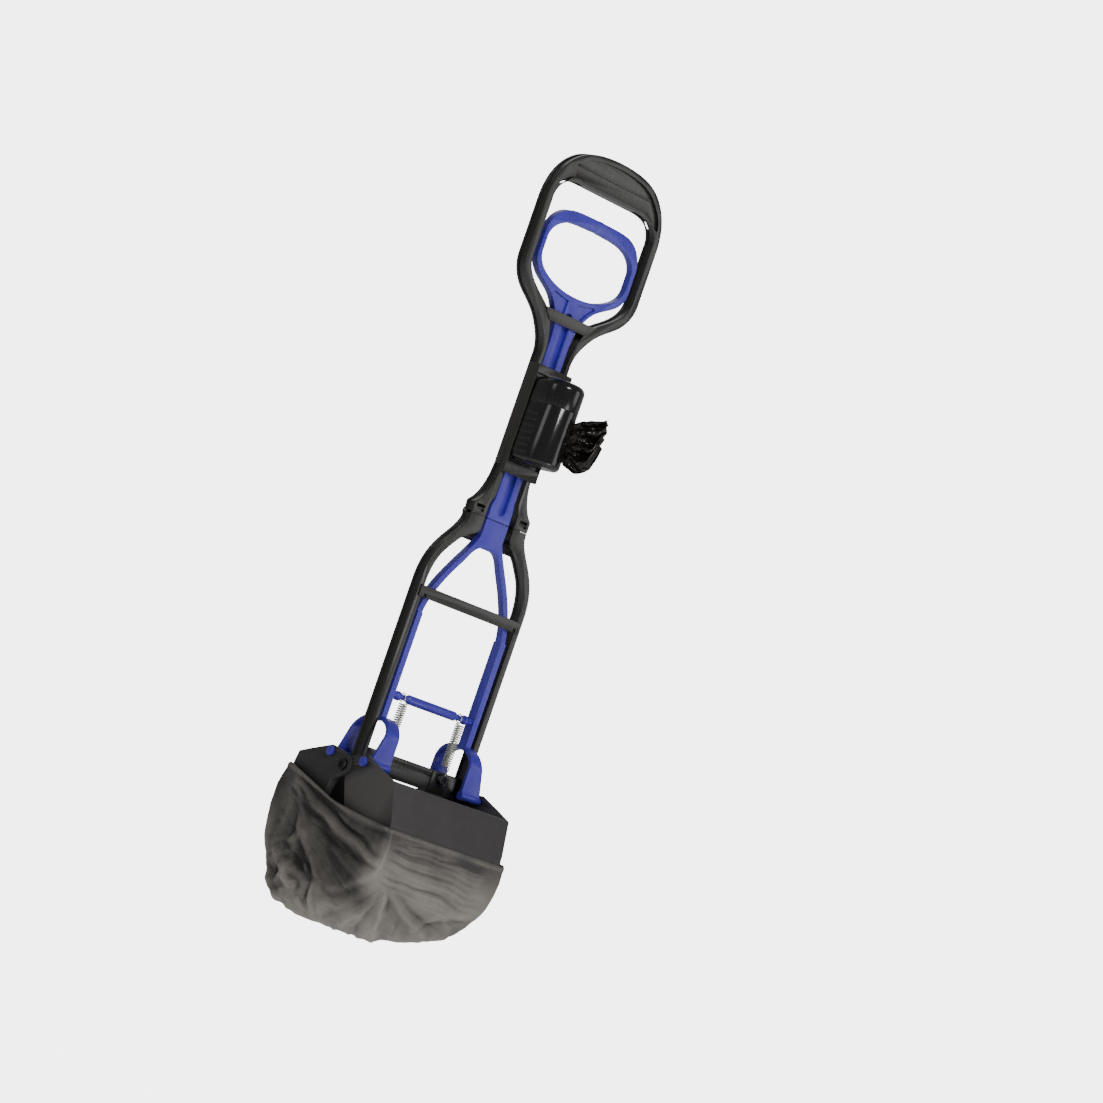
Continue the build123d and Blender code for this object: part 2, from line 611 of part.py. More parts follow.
def lower_frame():
    outline = lower_outline()
    body = flanged(outline, lower_void(), FRAME_HALF, FLANGE, WAIST_INSET)
    bridge_half = reach_at(outline[1][1], BRIDGE_TOP) - BRIDGE_EDGE
    bridge_z = (BRIDGE_TOP - BRIDGE_HEIGHT, BRIDGE_TOP)
    body += block(middle_out(bridge_half), (BRIDGE_Y, BRIDGE_Y + BRIDGE_DEPTH), bridge_z)
    plate_x = middle_out(LEG_IN + OVERRUN)
    body += block(plate_x, middle_out(CROSS_PLATE_HALF), (-CROSS_PLATE_DROP, CROSS_PLATE_TOP))
    rib_y = (-CROSS_PLATE_HALF, CROSS_PLATE_HALF + CROSS_PLATE_RIB_DEPTH)
    body += block(plate_x, rib_y, (CROSS_PLATE_TOP - CROSS_PLATE_RIB, CROSS_PLATE_TOP))
    body += block(plate_x, rib_y, (-CROSS_PLATE_DROP, -CROSS_PLATE_DROP + CROSS_PLATE_RIB))
    body -= both_sides(along_x(PIVOT_NUT_R + GAP, 0, 0, PIVOT_NUT[0] - GAP, PIVOT_NUT[1]))
    boss_end = LEG_OUT + BOSS_LENGTH
    body += both_sides(along_x(LEG_END_R, 0, 0, LEG_IN, boss_end))
    body -= both_sides(along_x(PIVOT_R, 0, 0, 0, boss_end + OVERRUN))
    body -= both_sides(along_y(SCREW_SHANK_R, SPRING_X, ANCHOR_SCREW_Z, *middle_out(FRAME_HALF)))
    clear = BARREL_R + BARREL_CLEAR
    body -= both_sides(along_x(clear, FOLD_Y, FOLD_Z, KNUCKLE_IN - OVERRUN, LOWER_BARREL[0] - TINY))
    body -= both_sides(along_x(SEAM_PIN_R, 0, SEAM_BOTTOM - SEAM_PIN_DROP, 0, KNUCKLE_IN + SEAM_PIN_END))
    root = (FOLD_Z - BARREL_ROOT_FAR, FOLD_Z - BARREL_R)
    barrel = knob(FOLD_Y, FOLD_Z, *root, BARREL_R, LOWER_BARREL, BARREL_ROOT_Y, FRAME_HALF)
    barrel -= along_x(FOLD_PIN_R, FOLD_Y, FOLD_Z, 0, 2 * KNUCKLE_OUT)
    return body + both_sides(barrel)


def seam_pins():
    span = (KNUCKLE_IN - SEAM_PIN_START, KNUCKLE_IN + SEAM_PIN_END)
    return both_sides(along_x(SEAM_PIN_R, 0, SEAM_BOTTOM - SEAM_PIN_DROP, *span))


def leg_crossbar():
    front = -FRAME_HALF - CROSSBAR_PROUD
    back = -BLUE_HALF - CROSSBAR_ROOM
    z = (CROSSBAR_TOP - CROSSBAR_HEIGHT, CROSSBAR_TOP)
    bar = block(middle_out(LEG_IN), (front, back), z)
    bar += block(middle_out(LEG_OUT - CROSSBAR_EDGE), (front, -FRAME_HALF), z)
    notch_end = LEG_IN - CROSSBAR_NOTCH_EDGE
    notch_x = (notch_end - CROSSBAR_NOTCH, notch_end)
    notch = block(notch_x, (front - OVERRUN, -FRAME_HALF), (z[0] - OVERRUN, z[0] + CROSSBAR_NOTCH))
    return bar - both_sides(notch)


def spring_anchor():
    x = (SPRING_X - ANCHOR_INNER, SPRING_X + ANCHOR_OUTER)
    top = CROSS_PLATE_TOP - ANCHOR_EDGE
    plate = block(x, (-ANCHOR_FRONT, -CROSS_PLATE_HALF), (top - ANCHOR_HEIGHT, top))
    return plate - along_y(SCREW_SHANK_R, SPRING_X, ANCHOR_SCREW_Z, *middle_out(FRAME_HALF))


def anchor_screw():
    face = -ANCHOR_FRONT - SCREW_ROOM
    shank = along_y(SCREW_SHANK_R, SPRING_X, ANCHOR_SCREW_Z, face, CROSS_PLATE_HALF)
    head = along_y(SCREW_HEAD_R, SPRING_X, ANCHOR_SCREW_Z, face - SCREW_HEAD_THICK, face)
    slot_x = (SPRING_X - SCREW_HEAD_R, SPRING_X + SCREW_HEAD_R)
    slot_z = (ANCHOR_SCREW_Z - SCREW_SLOT / 2, ANCHOR_SCREW_Z + SCREW_SLOT / 2)
    slot = block(slot_x, (face - 2 * SCREW_HEAD_THICK, face - SCREW_HEAD_THICK / 2), slot_z)
    return shank + head - slot


def biarc(start, start_way, end, end_way):
    # Two arcs that leave the start and reach the end along the given directions
    chord = end - start
    if start_way.cross(chord).length < TINY and end_way.cross(chord).length < TINY:
        return [Line(start, end)]
    both = start_way + end_way
    bend = 2 * (start_way.dot(end_way) - 1)
    slope = -2 * chord.dot(both)
    square = chord.dot(chord)
    if abs(bend) < SAME_SHARE:
        reach = -square / slope
    else:
        root = sqrt(slope * slope - 4 * bend * square)
        reach = (-slope - root) / (2 * bend)
        if reach <= 0:
            reach = (-slope + root) / (2 * bend)
    near = start + start_way * reach
    far = end - end_way * reach
    middle = (near + far) * (1 / 2)
    return [TangentArc(start, middle, tangent=start_way), TangentArc(middle, end, tangent=far - near)]


def spring_route():
    # Points and directions: foot loop round the screw, coil, top loop round the bar's neck
    axis = Vector(SPRING_X, SPRING_Y, 0)
    foot = axis + Vector(0, 0, ANCHOR_SCREW_Z)
    side = Vector(1, 0, 0)
    back = Vector(0, 1, 0)
    up = Vector(0, 0, 1)
    foot_r = SCREW_SHANK_R + WIRE / 2 + LOOP_ROOM
    top_r = BAR_NECK_R + WIRE / 2 + LOOP_ROOM
    coil_foot = ANCHOR_SCREW_Z + COIL_LEAD_LOW
    pitch = (BAR_Z - COIL_LEAD_HIGH - coil_foot) / COIL_TURNS
    route = [
        (foot + up * foot_r, side * -1),
        (foot - side * foot_r, up * -1),
        (foot - up * foot_r, side),
        (foot + side * foot_r, up),
        (foot + side * foot_r + up * LOOP_LEAD, up),
    ]
    for step in range(round(COIL_TURNS * 4) + 1):
        angle = radians(QUARTER * step)
        place = axis + side * (COIL_R * cos(angle)) + back * (COIL_R * sin(angle))
        way = side * (-sin(angle)) + back * cos(angle) + up * (pitch / (2 * pi * COIL_R))
        route.append((place + up * (coil_foot + pitch * step / 4), way.normalized()))
    neck = Vector(SPRING_X, 0, BAR_Z)
    route += [
        (neck - back * top_r, up),
        (neck + up * top_r, back),
        (neck + back * top_r, up * -1),
        (neck - up * top_r, back * -1),
    ]
    return route


def least_gap(points, skip):
    closest = BAR_Z
    for index, here in enumerate(points):
        for there in points[index + skip:]:
            closest = min(closest, (here - there).length)
    return closest - WIRE


def spring():
    route = spring_route()
    first, first_way = route[0]
    last, last_way = route[-1]
    edges = [Line(first - first_way * WIRE, first)]
    for (start, start_way), (end, end_way) in zip(route, route[1:]):
        edges += biarc(start, start_way, end, end_way)
    edges.append(Line(last, last + last_way * WIRE))
    path = Wire([edge.edge() for edge in edges])
    profile = Plane(origin=first - first_way * WIRE, z_dir=first_way).location * Circle(WIRE / 2)
    points = [path.position_at(step / SPRING_STEPS) for step in range(SPRING_STEPS + 1)]
    apart = round(2 * WIRE * SPRING_STEPS / path.length)
    print("spring: length", round(path.length, 1), "least gap to itself", round(least_gap(points, apart), 2))
    return sweep(profile, path=path)


def rod_outline():
    flare = curve((ROD_HALF, ROD_HEAD), (RING_OUT, RING_SIDE[0]), WEB_FLARE_SHARES)
    crown = curve((RING_OUT, RING_SIDE[1]), (0, RING_TOP), RING_CROWN_SHARES)
    foot = [(0, ROD_FOOT), (ROD_FOOT_HALF, ROD_FOOT), (ROD_FOOT_HALF, ROD_FOOT_TOP)]
    foot += [(ROD_HALF, ROD_FOOT_TOP + ROD_NECK_RISE), flare[0]]
    side = [flare[-1], crown[0]]
    return symmetric_face([("line", foot), ("curve", flare), ("line", side), ("curve", crown)])


def ring_hole():
    low = curve((0, RING_HOLE_FLOOR), (RING_IN, RING_SIDE[0]), RING_HOLE_LOW_SHARES)
    top = RING_TOP - RING_BAR_HEIGHT
    high = curve((RING_IN, RING_SIDE[1] - RING_HOLE_DROP), (0, top), RING_HOLE_HIGH_SHARES)
    return symmetric_face([("curve", low), ("line", [low[-1], high[0]]), ("curve", high)])


def web_recess():
    # One of the two shallow pockets beside the web's middle rib
    points = scaled(WEB_RECESS_SHARES, RING_OUT, RING_SIDE[0] - ROD_HEAD)
    return polygon([(x, ROD_HEAD + z) for x, z in points])


def pull_rod():
    body = front_plate(rod_outline() - ring_hole(), middle_out(BLUE_HALF))
    groove_z = (ROD_FOOT + GROOVE_LOW, RING_HOLE_FLOOR - GROOVE_HIGH)
    groove = SlotOverall(groove_z[1] - groove_z[0], 2 * GROOVE_HALF, rotation=QUARTER)
    groove = Pos(0, (groove_z[0] + groove_z[1]) / 2) * groove
    body -= front_plate(groove, (-BLUE_HALF - OVERRUN, -BLUE_HALF + GROOVE_DEPTH))
    floor = BLUE_HALF - WEB_RECESS_DEPTH
    for y in ((-BLUE_HALF - OVERRUN, -floor), (floor, BLUE_HALF + OVERRUN)):
        body -= both_sides(front_plate(web_recess(), y))
    start = BLUE_HALF - ROD_REAR_CHAMFER
    end = BLUE_HALF + OVERRUN
    low = ROD_FOOT - OVERRUN
    corner = [(start, low), (end, low), (end, ROD_FOOT + ROD_REAR_CHAMFER + OVERRUN)]
    body -= side_plate(polygon(corner), middle_out(ROD_FOOT_HALF + OVERRUN))
    root = (ROD_FOOT + ROD_LUG_RISE, ROD_FOOT_TOP)
    span = middle_out(ROD_LUG_HALF)
    lug = knob(FOLD_Y, FOLD_Z, *root, BLUE_BARREL_R, span, BLUE_HALF - OVERRUN, BLUE_HALF)
    lug -= along_x(MIDDLE_PIN_R, FOLD_Y, FOLD_Z, *middle_out(ROD_FOOT_HALF))
    return body + lug


def hinge_pin_middle():
    return along_x(MIDDLE_PIN_R, FOLD_Y, FOLD_Z, *middle_out(ROD_LUG_HALF))


def hinge_pin_ends():
    return both_sides(along_x(MIDDLE_PIN_R, FOLD_Y, FOLD_Z, YOKE_BARREL[0], YOKE_BARREL[1] + OVERRUN))


def yoke_outline():
    out = curve((BLOCK_HALF, BLOCK_WAIST), (ARM_OUT, ARM_STRAIGHT), ARM_OUT_SHARES)
    inner = curve((ARM_IN, ARM_STRAIGHT), (BLOCK_FOOT_HALF, BLOCK_FOOT), ARM_IN_SHARES)
    arm_foot = ARCH_TOP - ARCH_JOIN
    top = [(0, YOKE_TOP), (BLOCK_HALF, YOKE_TOP), out[0]]
    side = [out[-1], (ARM_OUT, arm_foot), (ARM_IN, arm_foot), inner[0]]
    foot = [inner[-1], (0, BLOCK_FOOT)]
    return symmetric_face([("line", top), ("curve", out), ("line", side), ("curve", inner), ("line", foot)])


def spring_bar():
    # A turned bar with a neck for each spring and a collar beside it
    neck = (SPRING_X - BAR_NECK_HALF, SPRING_X + BAR_NECK_HALF)
    collar = neck[1] + BAR_COLLAR_STEP
    end = ARM_IN + BAR_END_LAP
    half = [(0, 0), (0, BAR_R), (neck[0] - BAR_NECK_TAPER, BAR_R), (neck[0], BAR_NECK_R)]
    half += [(neck[1], BAR_NECK_R), (collar, BAR_R), (collar + BAR_COLLAR, BAR_R)]
    half += [(collar + BAR_COLLAR + BAR_END_STEP, BAR_END_R)]
    half += [(end, BAR_END_R), (end, 0)]
    return both_sides(Pos(0, 0, BAR_Z) * revolve(polygon(half), axis=Axis.X))


def arch():
    inside = ARCH_HALF - ARCH_STRAP
    outer = curve((ARCH_HALF, ARCH_SIDE), (0, ARCH_TOP), ARCH_OUTER_SHARES)
    inner = curve((inside, ARCH_SIDE), (0, ARCH_TOP - ARCH_CROWN_THICK), ARCH_INNER_SHARES)
    foot = ARCH_FOOT - OVERRUN
    outer_foot = [(0, ARCH_FOOT), (ARCH_HALF, ARCH_FOOT), outer[0]]
    inner_foot = [(0, foot), (inside, foot), inner[0]]
    strap = symmetric_face([("line", outer_foot), ("curve", outer)])
    strap -= symmetric_face([("line", inner_foot), ("curve", inner)])
    for side in (-1, 1):
        strap += Pos(side * LINK_Y, LINK_Z) * Circle(ARCH_EYE_R)
        shank = Rectangle(ARCH_STRAP, ARCH_FOOT - LINK_Z + 2 * OVERRUN)
        strap += Pos(side * (inside + ARCH_HALF) / 2, (LINK_Z + ARCH_FOOT) / 2 + OVERRUN) * shank
    out = JAW_HALF - JAW_WALL - OVERRUN
    solid = side_plate(strap, (ARM_IN - ARCH_LAP, out))
    high = ARCH_TOP + ARCH_STRAP
    low_x = out - LINK_HEAD_ROOM
    slant = [(low_x - ARCH_LEAN, high), (low_x - ARCH_LEAN, ARCH_TOP), (low_x, LINK_Z), (out, 0)]
    slant += [(2 * out, 0), (2 * out, high)]
    solid -= front_plate(polygon(slant), middle_out(2 * ARCH_HALF))
    for side in (-1, 1):
        solid -= along_x(LINK_PIN_R, side * LINK_Y, LINK_Z, out - LINK_PIN_LENGTH, out + OVERRUN)
    return solid


def yoke():
    outline = yoke_outline()
    body = front_plate(outline, middle_out(BLUE_HALF))
    deep = front_plate(outline, middle_out(ARM_DEEP))
    body += deep & block(middle_out(2 * ARM_OUT), middle_out(2 * ARM_DEEP), (0, ARM_STRAIGHT))
    body += spring_bar()
    body += both_sides(arch())
    notch_x = middle_out(ROD_LUG_HALF + NOTCH_ROOM)
    body -= block(notch_x, (0, BLUE_HALF + OVERRUN), (YOKE_TOP - NOTCH_DEPTH, YOKE_TOP + OVERRUN))
    root = (YOKE_TOP - YOKE_LUG_DROP, YOKE_TOP - YOKE_LUG_EDGE)
    lug = knob(FOLD_Y, FOLD_Z, *root, BLUE_BARREL_R, YOKE_BARREL, BLUE_HALF - OVERRUN, BLUE_HALF)
    lug -= along_x(MIDDLE_PIN_R, FOLD_Y, FOLD_Z, 0, 2 * ROD_FOOT_HALF)
    return body + both_sides(lug)


def link_pins():
    start = JAW_HALF - JAW_WALL - OVERRUN - LINK_PIN_LENGTH
    head = JAW_HALF + LINK_HEAD_ROOM
    pins = []
    for y in (-LINK_Y, LINK_Y):
        pin = along_x(LINK_PIN_R, y, LINK_Z, start, head)
        pin += along_x(LINK_HEAD_R, y, LINK_Z, head, head + LINK_HEAD_THICK)
        pins += [pin, mirror(pin, about=Plane.YZ)]
    return Compound(children=pins)


def jaw_back():
    return scaled(JAW_BACK_SHARES, -JAW_DEPTH, JAW_FOOT)


def jaw_section():
    tip = [(-LINK_Y - EAR_TIP * out, EAR_TIP_RISE * up) for out, up in EAR_TIP_SHARES]
    root = [(-EAR_R * EAR_ROOT_SHARES[0], EAR_R * EAR_ROOT_SHARES[1]), (-JAW_MATE, EAR_R - TINY)]
    return polygon([(-JAW_MATE, JAW_FOOT)] + jaw_back() + tip + root)


def jaw_body_section(grow):
    # The jaw's outside with its mouth and top carried on, so that it can be drawn in or out
    far = JAW_DEPTH
    back = jaw_back()
    body = polygon([(far, JAW_FOOT)] + back + [(back[-1][0], far), (far, far)])
    return offset(body, amount=grow, kind=Kind.INTERSECTION)


def jaw_width(grow):
    high = JAW_DEPTH
    low = JAW_FOOT - POUCH_CLEAR * 2
    wide = JAW_HALF + grow
    lean = JAW_DRAFT / (-JAW_DRAFT_START - JAW_FOOT)
    narrow = wide - lean * (-JAW_DRAFT_START - low)
    right = [(narrow, low), (wide, -JAW_DRAFT_START), (wide, high)]
    return polygon(right + [(-x, z) for x, z in right[::-1]])


def jaw_envelope(grow):
    span = middle_out(JAW_HALF * 2)
    return side_plate(jaw_body_section(grow), span) & front_plate(jaw_width(grow), span)


def link_slot():
    # Lies along the link pin's way in the jaw, from its lowest to its highest place
    way = Vector(-LINK_Y, LINK_Z).rotate(Axis.Z, JAW_ANGLE).normalized()
    ends = [way * hypot(LINK_Y, LINK_Z - PULL_DOWN), way * hypot(LINK_Y, LINK_Z + PULL_UP)]
    circles = [Pos(end.X, end.Y) * Circle(LINK_PIN_R + SLOT_ROOM) for end in ends]
    return side_plate(make_hull((circles[0] + circles[1]).edges()), middle_out(JAW_HALF * 2))


def jaw():
    # The front jaw, closed. Its plain ear is at the left end, its outer lug at the right
    span = middle_out(JAW_HALF * 2)
    shell = side_plate(jaw_section(), span) & front_plate(jaw_width(0), span)
    shell -= jaw_envelope(-JAW_WALL)
    inside = JAW_HALF - JAW_WALL
    clear = EAR_R + EAR_CLEAR
    shell += along_x(EAR_R, 0, 0, -JAW_HALF, -inside)
    shell -= along_x(clear, 0, 0, inside - JAW_WALL, JAW_HALF + OVERRUN)
    tail = Pos(-LUG_TAIL_BACK, -LUG_TAIL_DROP) * Circle(LUG_TAIL_R)
    teardrop = make_hull((Circle(EAR_R) + tail).edges())
    pad = side_plate(tail, (inside, LUG[1]))
    pad -= along_x(clear, 0, 0, inside - OVERRUN, LUG[0])
    pad &= block((0, JAW_HALF * 2), (-JAW_HALF, -JAW_MATE), middle_out(JAW_HALF))
    shell += side_plate(teardrop, LUG) + pad
    shell -= along_x(PIVOT_R + FIT, 0, 0, *span)
    return shell - link_slot()


def opened(solid, angle):
    return Rot(angle, 0, 0) * solid


def front_jaw():
    return opened(jaw(), -JAW_ANGLE)


def rear_jaw():
    return opened(half_turned(jaw()), JAW_ANGLE)


def bag_skin(fall):
    # A film on the outside of a jaw, below a rim that falls towards the jaw's back
    skin = jaw_envelope(SKIN_FAR) - jaw_envelope(SKIN_NEAR)
    far = -JAW_DEPTH - POUCH_SLACK
    rim = (-JAW_MATE, -RIM_DROP)
    end = (far, -RIM_DROP - fall)
    keep = polygon([rim, end, (far, JAW_FOOT * 2), (-JAW_MATE, JAW_FOOT * 2)])
    return skin & side_plate(keep, middle_out(JAW_HALF * 2))


def bag_front():
    return opened(bag_skin(FRONT_RIM_FALL), -JAW_ANGLE)


def bag_rear():
    return opened(half_turned(bag_skin(REAR_RIM_FALL)), JAW_ANGLE)


def mirrored_face(points):
    return polygon(points + [(-x, z) for x, z in points[::-1] if x > 0])


def bag_middle():
    span = middle_out(JAW_HALF * 2)
    section = mirrored_face([POUCH_THROAT] + scaled(POUCH_SECTION_SHARES, POUCH_REACH, POUCH_FOOT))
    plan = mirrored_face(scaled(POUCH_PLAN_SHARES, POUCH_HALF, POUCH_FOOT))
    outer = side_plate(section, span) & front_plate(plan, span)
    small_section = offset(section, amount=-POUCH_WALL, kind=Kind.INTERSECTION)
    small_plan = offset(plan, amount=-POUCH_WALL, kind=Kind.INTERSECTION)
    inner = side_plate(small_section, span) & front_plate(small_plan, span)
    mouth_foot = POUCH_THROAT[1] - POUCH_MOUTH_DEPTH
    mouth_x = middle_out(POUCH_HALF - POUCH_WALL)
    inner += block(mouth_x, middle_out(POUCH_MOUTH_HALF), (mouth_foot, 0))
    pouch = outer - inner
    room = jaw_envelope(POUCH_CLEAR) & block(span, (-2 * JAW_HALF, POUCH_CLEAR), (-2 * JAW_HALF, JAW_HALF))
    pouch -= opened(room, -JAW_ANGLE)
    pouch -= opened(half_turned(room), JAW_ANGLE)
    return max(pouch.solids(), key=lambda solid: solid.volume)


def pivot_screw():
    screw = along_x(PIVOT_R, 0, 0, PIVOT_NUT[0] + OVERRUN, PIVOT_HEAD[0])
    screw += along_x(PIVOT_HEAD_R, 0, 0, *PIVOT_HEAD)
    hex_x = (PIVOT_HEAD[1] - PIVOT_HEX_DEPTH, PIVOT_HEAD[1] + OVERRUN)
    return screw - side_plate(RegularPolygon(PIVOT_HEX, 6), hex_x)


def pivot_nut():
    nut = side_plate(RegularPolygon(PIVOT_NUT_R, 6), PIVOT_NUT)
    return nut - along_x(PIVOT_R, 0, 0, PIVOT_NUT[0] - OVERRUN, PIVOT_NUT[1] + OVERRUN)


def canister_face(radius, back):
    straight = Pos(0, -(CANISTER_CENTRE + back) / 2) * Rectangle(2 * radius, CANISTER_CENTRE - back)
    front = Pos(0, -CANISTER_CENTRE - radius / 2) * Rectangle(2 * radius, radius)
    return straight + (Pos(0, -CANISTER_CENTRE) * Circle(radius) & front)


def upright(face, z):
    return Pos(0, 0, z[0]) * extrude(face, amount=z[1] - z[0])


def dispenser_bracket():
    z = TRAY_Z
    wide = middle_out(TRAY_HALF)
    tray = block(wide, (-TRAY_FACE, -TRAY_BACK), z)
    rim_y = (-TRAY_RIM_FRONT, -TRAY_BACK)
    tray += both_sides(block((TRAY_HALF - TRAY_RIM, TRAY_HALF), rim_y, z))
    tray += block(wide, rim_y, (z[1] - TRAY_BAR, z[1]))
    tray += block(wide, rim_y, (z[0], z[0] + TRAY_SHELF))
    clip_y = (-TRAY_BACK - OVERRUN, -TRAY_BACK + TRAY_CLIP_REACH)
    return tray + both_sides(block((RAIL_OUT + TINY, TRAY_HALF), clip_y, (RAIL_FOOT, z[1])))


def dispenser_body():
    outer = upright(canister_face(CANISTER_R, CANISTER_BACK), CANISTER_Z)
    outer = fillet(outer.edges().group_by(Axis.Z)[0], CANISTER_FILLET)
    inside = CANISTER_R - CANISTER_WALL
    floor = CANISTER_Z[0] + CANISTER_WALL
    hollow = canister_face(inside, CANISTER_BACK + CANISTER_WALL)
    body = outer - upright(hollow, (floor, CANISTER_Z[1] + OVERRUN))
    centre = Pos(0, -CANISTER_CENTRE, 0)
    body += centre * upright(Circle(CORE_BORE - CORE_PLAY), (floor - OVERRUN, ROLL_Z[1]))
    slot = upright(Pos(0, -CANISTER_R) * Rectangle(2 * CANISTER_SLOT_HALF, 2 * CANISTER_R), CANISTER_SLOT)
    slot -= upright(Circle(inside - CANISTER_WALL), CANISTER_SLOT)
    body -= centre * Rot(0, 0, CANISTER_SLOT_ANGLE) * slot
    rib_x = (CANISTER_R - OVERRUN, CANISTER_R + RIB_HEIGHT)
    rib_y = (-CANISTER_CENTRE, -CANISTER_BACK - RIB_SETBACK)
    for index in range(RIB_COUNT):
        z = RIB_Z[0] + (RIB_Z[1] - RIB_Z[0]) * index / (RIB_COUNT - 1)
        body += both_sides(block(rib_x, rib_y, (z - RIB_HALF, z + RIB_HALF)))
    return body


def dispenser_cap():
    z = (CANISTER_Z[1] + TINY, CAP_TOP)
    outer = upright(canister_face(CANISTER_R, CAP_BACK), z)
    outer = fillet(outer.edges().group_by(Axis.Z)[-1], CAP_FILLET)
    spigot_r = CANISTER_R - CANISTER_WALL - SPIGOT_GAP
    spigot = upright(canister_face(spigot_r, CAP_BACK + SPIGOT_GAP), (z[0] - SPIGOT, z[0] + OVERRUN))
    hollow = canister_face(spigot_r - SPIGOT_WALL, CAP_BACK + SPIGOT_GAP + SPIGOT_WALL)
    return outer + spigot - upright(hollow, (z[0] - SPIGOT - OVERRUN, z[1] - CAP_FILLET))


def bag_roll():
    return Pos(0, -CANISTER_CENTRE, 0) * upright(Circle(ROLL_R) - Circle(CORE_R), ROLL_Z)


def roll_core():
    return Pos(0, -CANISTER_CENTRE, 0) * upright(Circle(CORE_R) - Circle(CORE_BORE), ROLL_Z)


def bag_tail():
    # A flat fan of film, drawn in the plane of the slot
    low = CANISTER_SLOT[0] - TAIL_LOW
    points = scaled(TAIL_SHARES, TAIL_REACH, CANISTER_SLOT[1] + TAIL_HIGH - low)
    sheet = front_plate(polygon([(x, low + z) for x, z in points]), middle_out(TAIL_THICK / 2))
    turned = Rot(0, 0, CANISTER_SLOT_ANGLE - QUARTER) * Pos(CANISTER_R - TAIL_TUCK, 0, 0) * sheet
    return Pos(0, -CANISTER_CENTRE, 0) * turned


def parts():
    anchor = spring_anchor()
    screw = anchor_screw()
    coil = spring()
    yield "upper_frame", upper_frame()
    yield "fold_hinge_pins", fold_hinge_pins()
    yield "dispenser_bracket", dispenser_bracket()
    yield "dispenser_body", dispenser_body()
    yield "dispenser_cap", dispenser_cap()
    yield "bag_roll", bag_roll()
    yield "roll_core", roll_core()
    yield "bag_tail", bag_tail()
    yield "pull_rod", pull_rod()
    yield "hinge_pin_middle", hinge_pin_middle()
    yield "yoke", yoke()
    yield "hinge_pin_ends", hinge_pin_ends()
    yield "link_pins", link_pins()
    yield "lower_frame", lower_frame()
    yield "seam_pins", seam_pins()
    yield "leg_crossbar", leg_crossbar()
    yield "spring_anchor_left", mirror(anchor, about=Plane.YZ)
    yield "spring_anchor_right", anchor
    yield "anchor_screws", both_sides(screw)
    yield "spring_left", mirror(coil, about=Plane.YZ)
    yield "spring_right", coil
    yield "jaw_pivot_screws", both_sides(pivot_screw())
    yield "jaw_pivot_nuts", both_sides(pivot_nut())
    yield "front_jaw", front_jaw()
    yield "rear_jaw", rear_jaw()
    yield "bag_front", bag_front()
    yield "bag_rear", bag_rear()
    yield "bag_middle", bag_middle()


def main():
    os.makedirs("parts", exist_ok=True)
    for name, solid in parts():
        placed = Pos(0, 0, -GRIP_HEIGHT) * solid
        box = placed.bounding_box()
        low = [round(side, 1) for side in box.min]
        high = [round(side, 1) for side in box.max]
        print(name, len(placed.solids()), round(placed.volume), low, high)
        export_step(placed, "parts/" + name + ".step")


main()
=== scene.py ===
import math

import bpy
import numpy as np
from mathutils import Matrix, Vector, noise


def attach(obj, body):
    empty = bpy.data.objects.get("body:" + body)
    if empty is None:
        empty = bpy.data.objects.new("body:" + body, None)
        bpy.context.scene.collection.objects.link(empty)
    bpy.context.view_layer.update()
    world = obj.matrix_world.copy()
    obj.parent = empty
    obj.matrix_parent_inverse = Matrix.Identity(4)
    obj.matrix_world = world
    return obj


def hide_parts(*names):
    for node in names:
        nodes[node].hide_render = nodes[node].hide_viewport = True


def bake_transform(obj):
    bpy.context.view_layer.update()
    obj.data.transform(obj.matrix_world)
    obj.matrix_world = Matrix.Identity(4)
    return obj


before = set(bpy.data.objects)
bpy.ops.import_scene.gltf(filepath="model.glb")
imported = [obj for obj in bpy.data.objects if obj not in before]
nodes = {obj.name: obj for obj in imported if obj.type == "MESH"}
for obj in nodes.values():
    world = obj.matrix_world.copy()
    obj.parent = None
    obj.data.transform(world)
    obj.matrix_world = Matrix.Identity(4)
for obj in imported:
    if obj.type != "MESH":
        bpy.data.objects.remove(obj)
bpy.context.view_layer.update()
mm = 0.001
pivotHeight = -0.56

camera = {
    "place": (-2.1943, -2.6423, -0.5715),
    "yaw": 40.65,
    "pitch": 4.21,
    "roll": 18.99,
    "lens": 125.1,
    "sensor": 36.0,
    "clipEnd": 50,
}


def report(stage):
    print("scene:", stage)


# Camera, light and backdrop

def cameraMatrix(settings):
    # Yaw and pitch give the way ahead. Right and up stand square to it and are turned about it by the roll
    yaw = math.radians(settings["yaw"])
    pitch = math.radians(settings["pitch"])
    roll = math.radians(settings["roll"])
    ahead = Vector((math.sin(yaw) * math.cos(pitch), math.cos(yaw) * math.cos(pitch), math.sin(pitch)))
    right = ahead.cross(Vector((0, 0, 1))).normalized()
    up = right.cross(ahead)
    turnedRight = right * math.cos(roll) + up * math.sin(roll)
    turnedUp = up * math.cos(roll) - right * math.sin(roll)
    matrix = Matrix((turnedRight, turnedUp, -ahead)).transposed().to_4x4()
    matrix.translation = Vector(settings["place"])
    return matrix


def addCamera():
    data = bpy.data.cameras.new("camera")
    data.lens = camera["lens"]
    data.sensor_width = camera["sensor"]
    data.clip_end = camera["clipEnd"]
    holder = bpy.data.objects.new("camera", data)
    holder.matrix_world = cameraMatrix(camera)
    bpy.context.scene.collection.objects.link(holder)
    bpy.context.scene.camera = holder


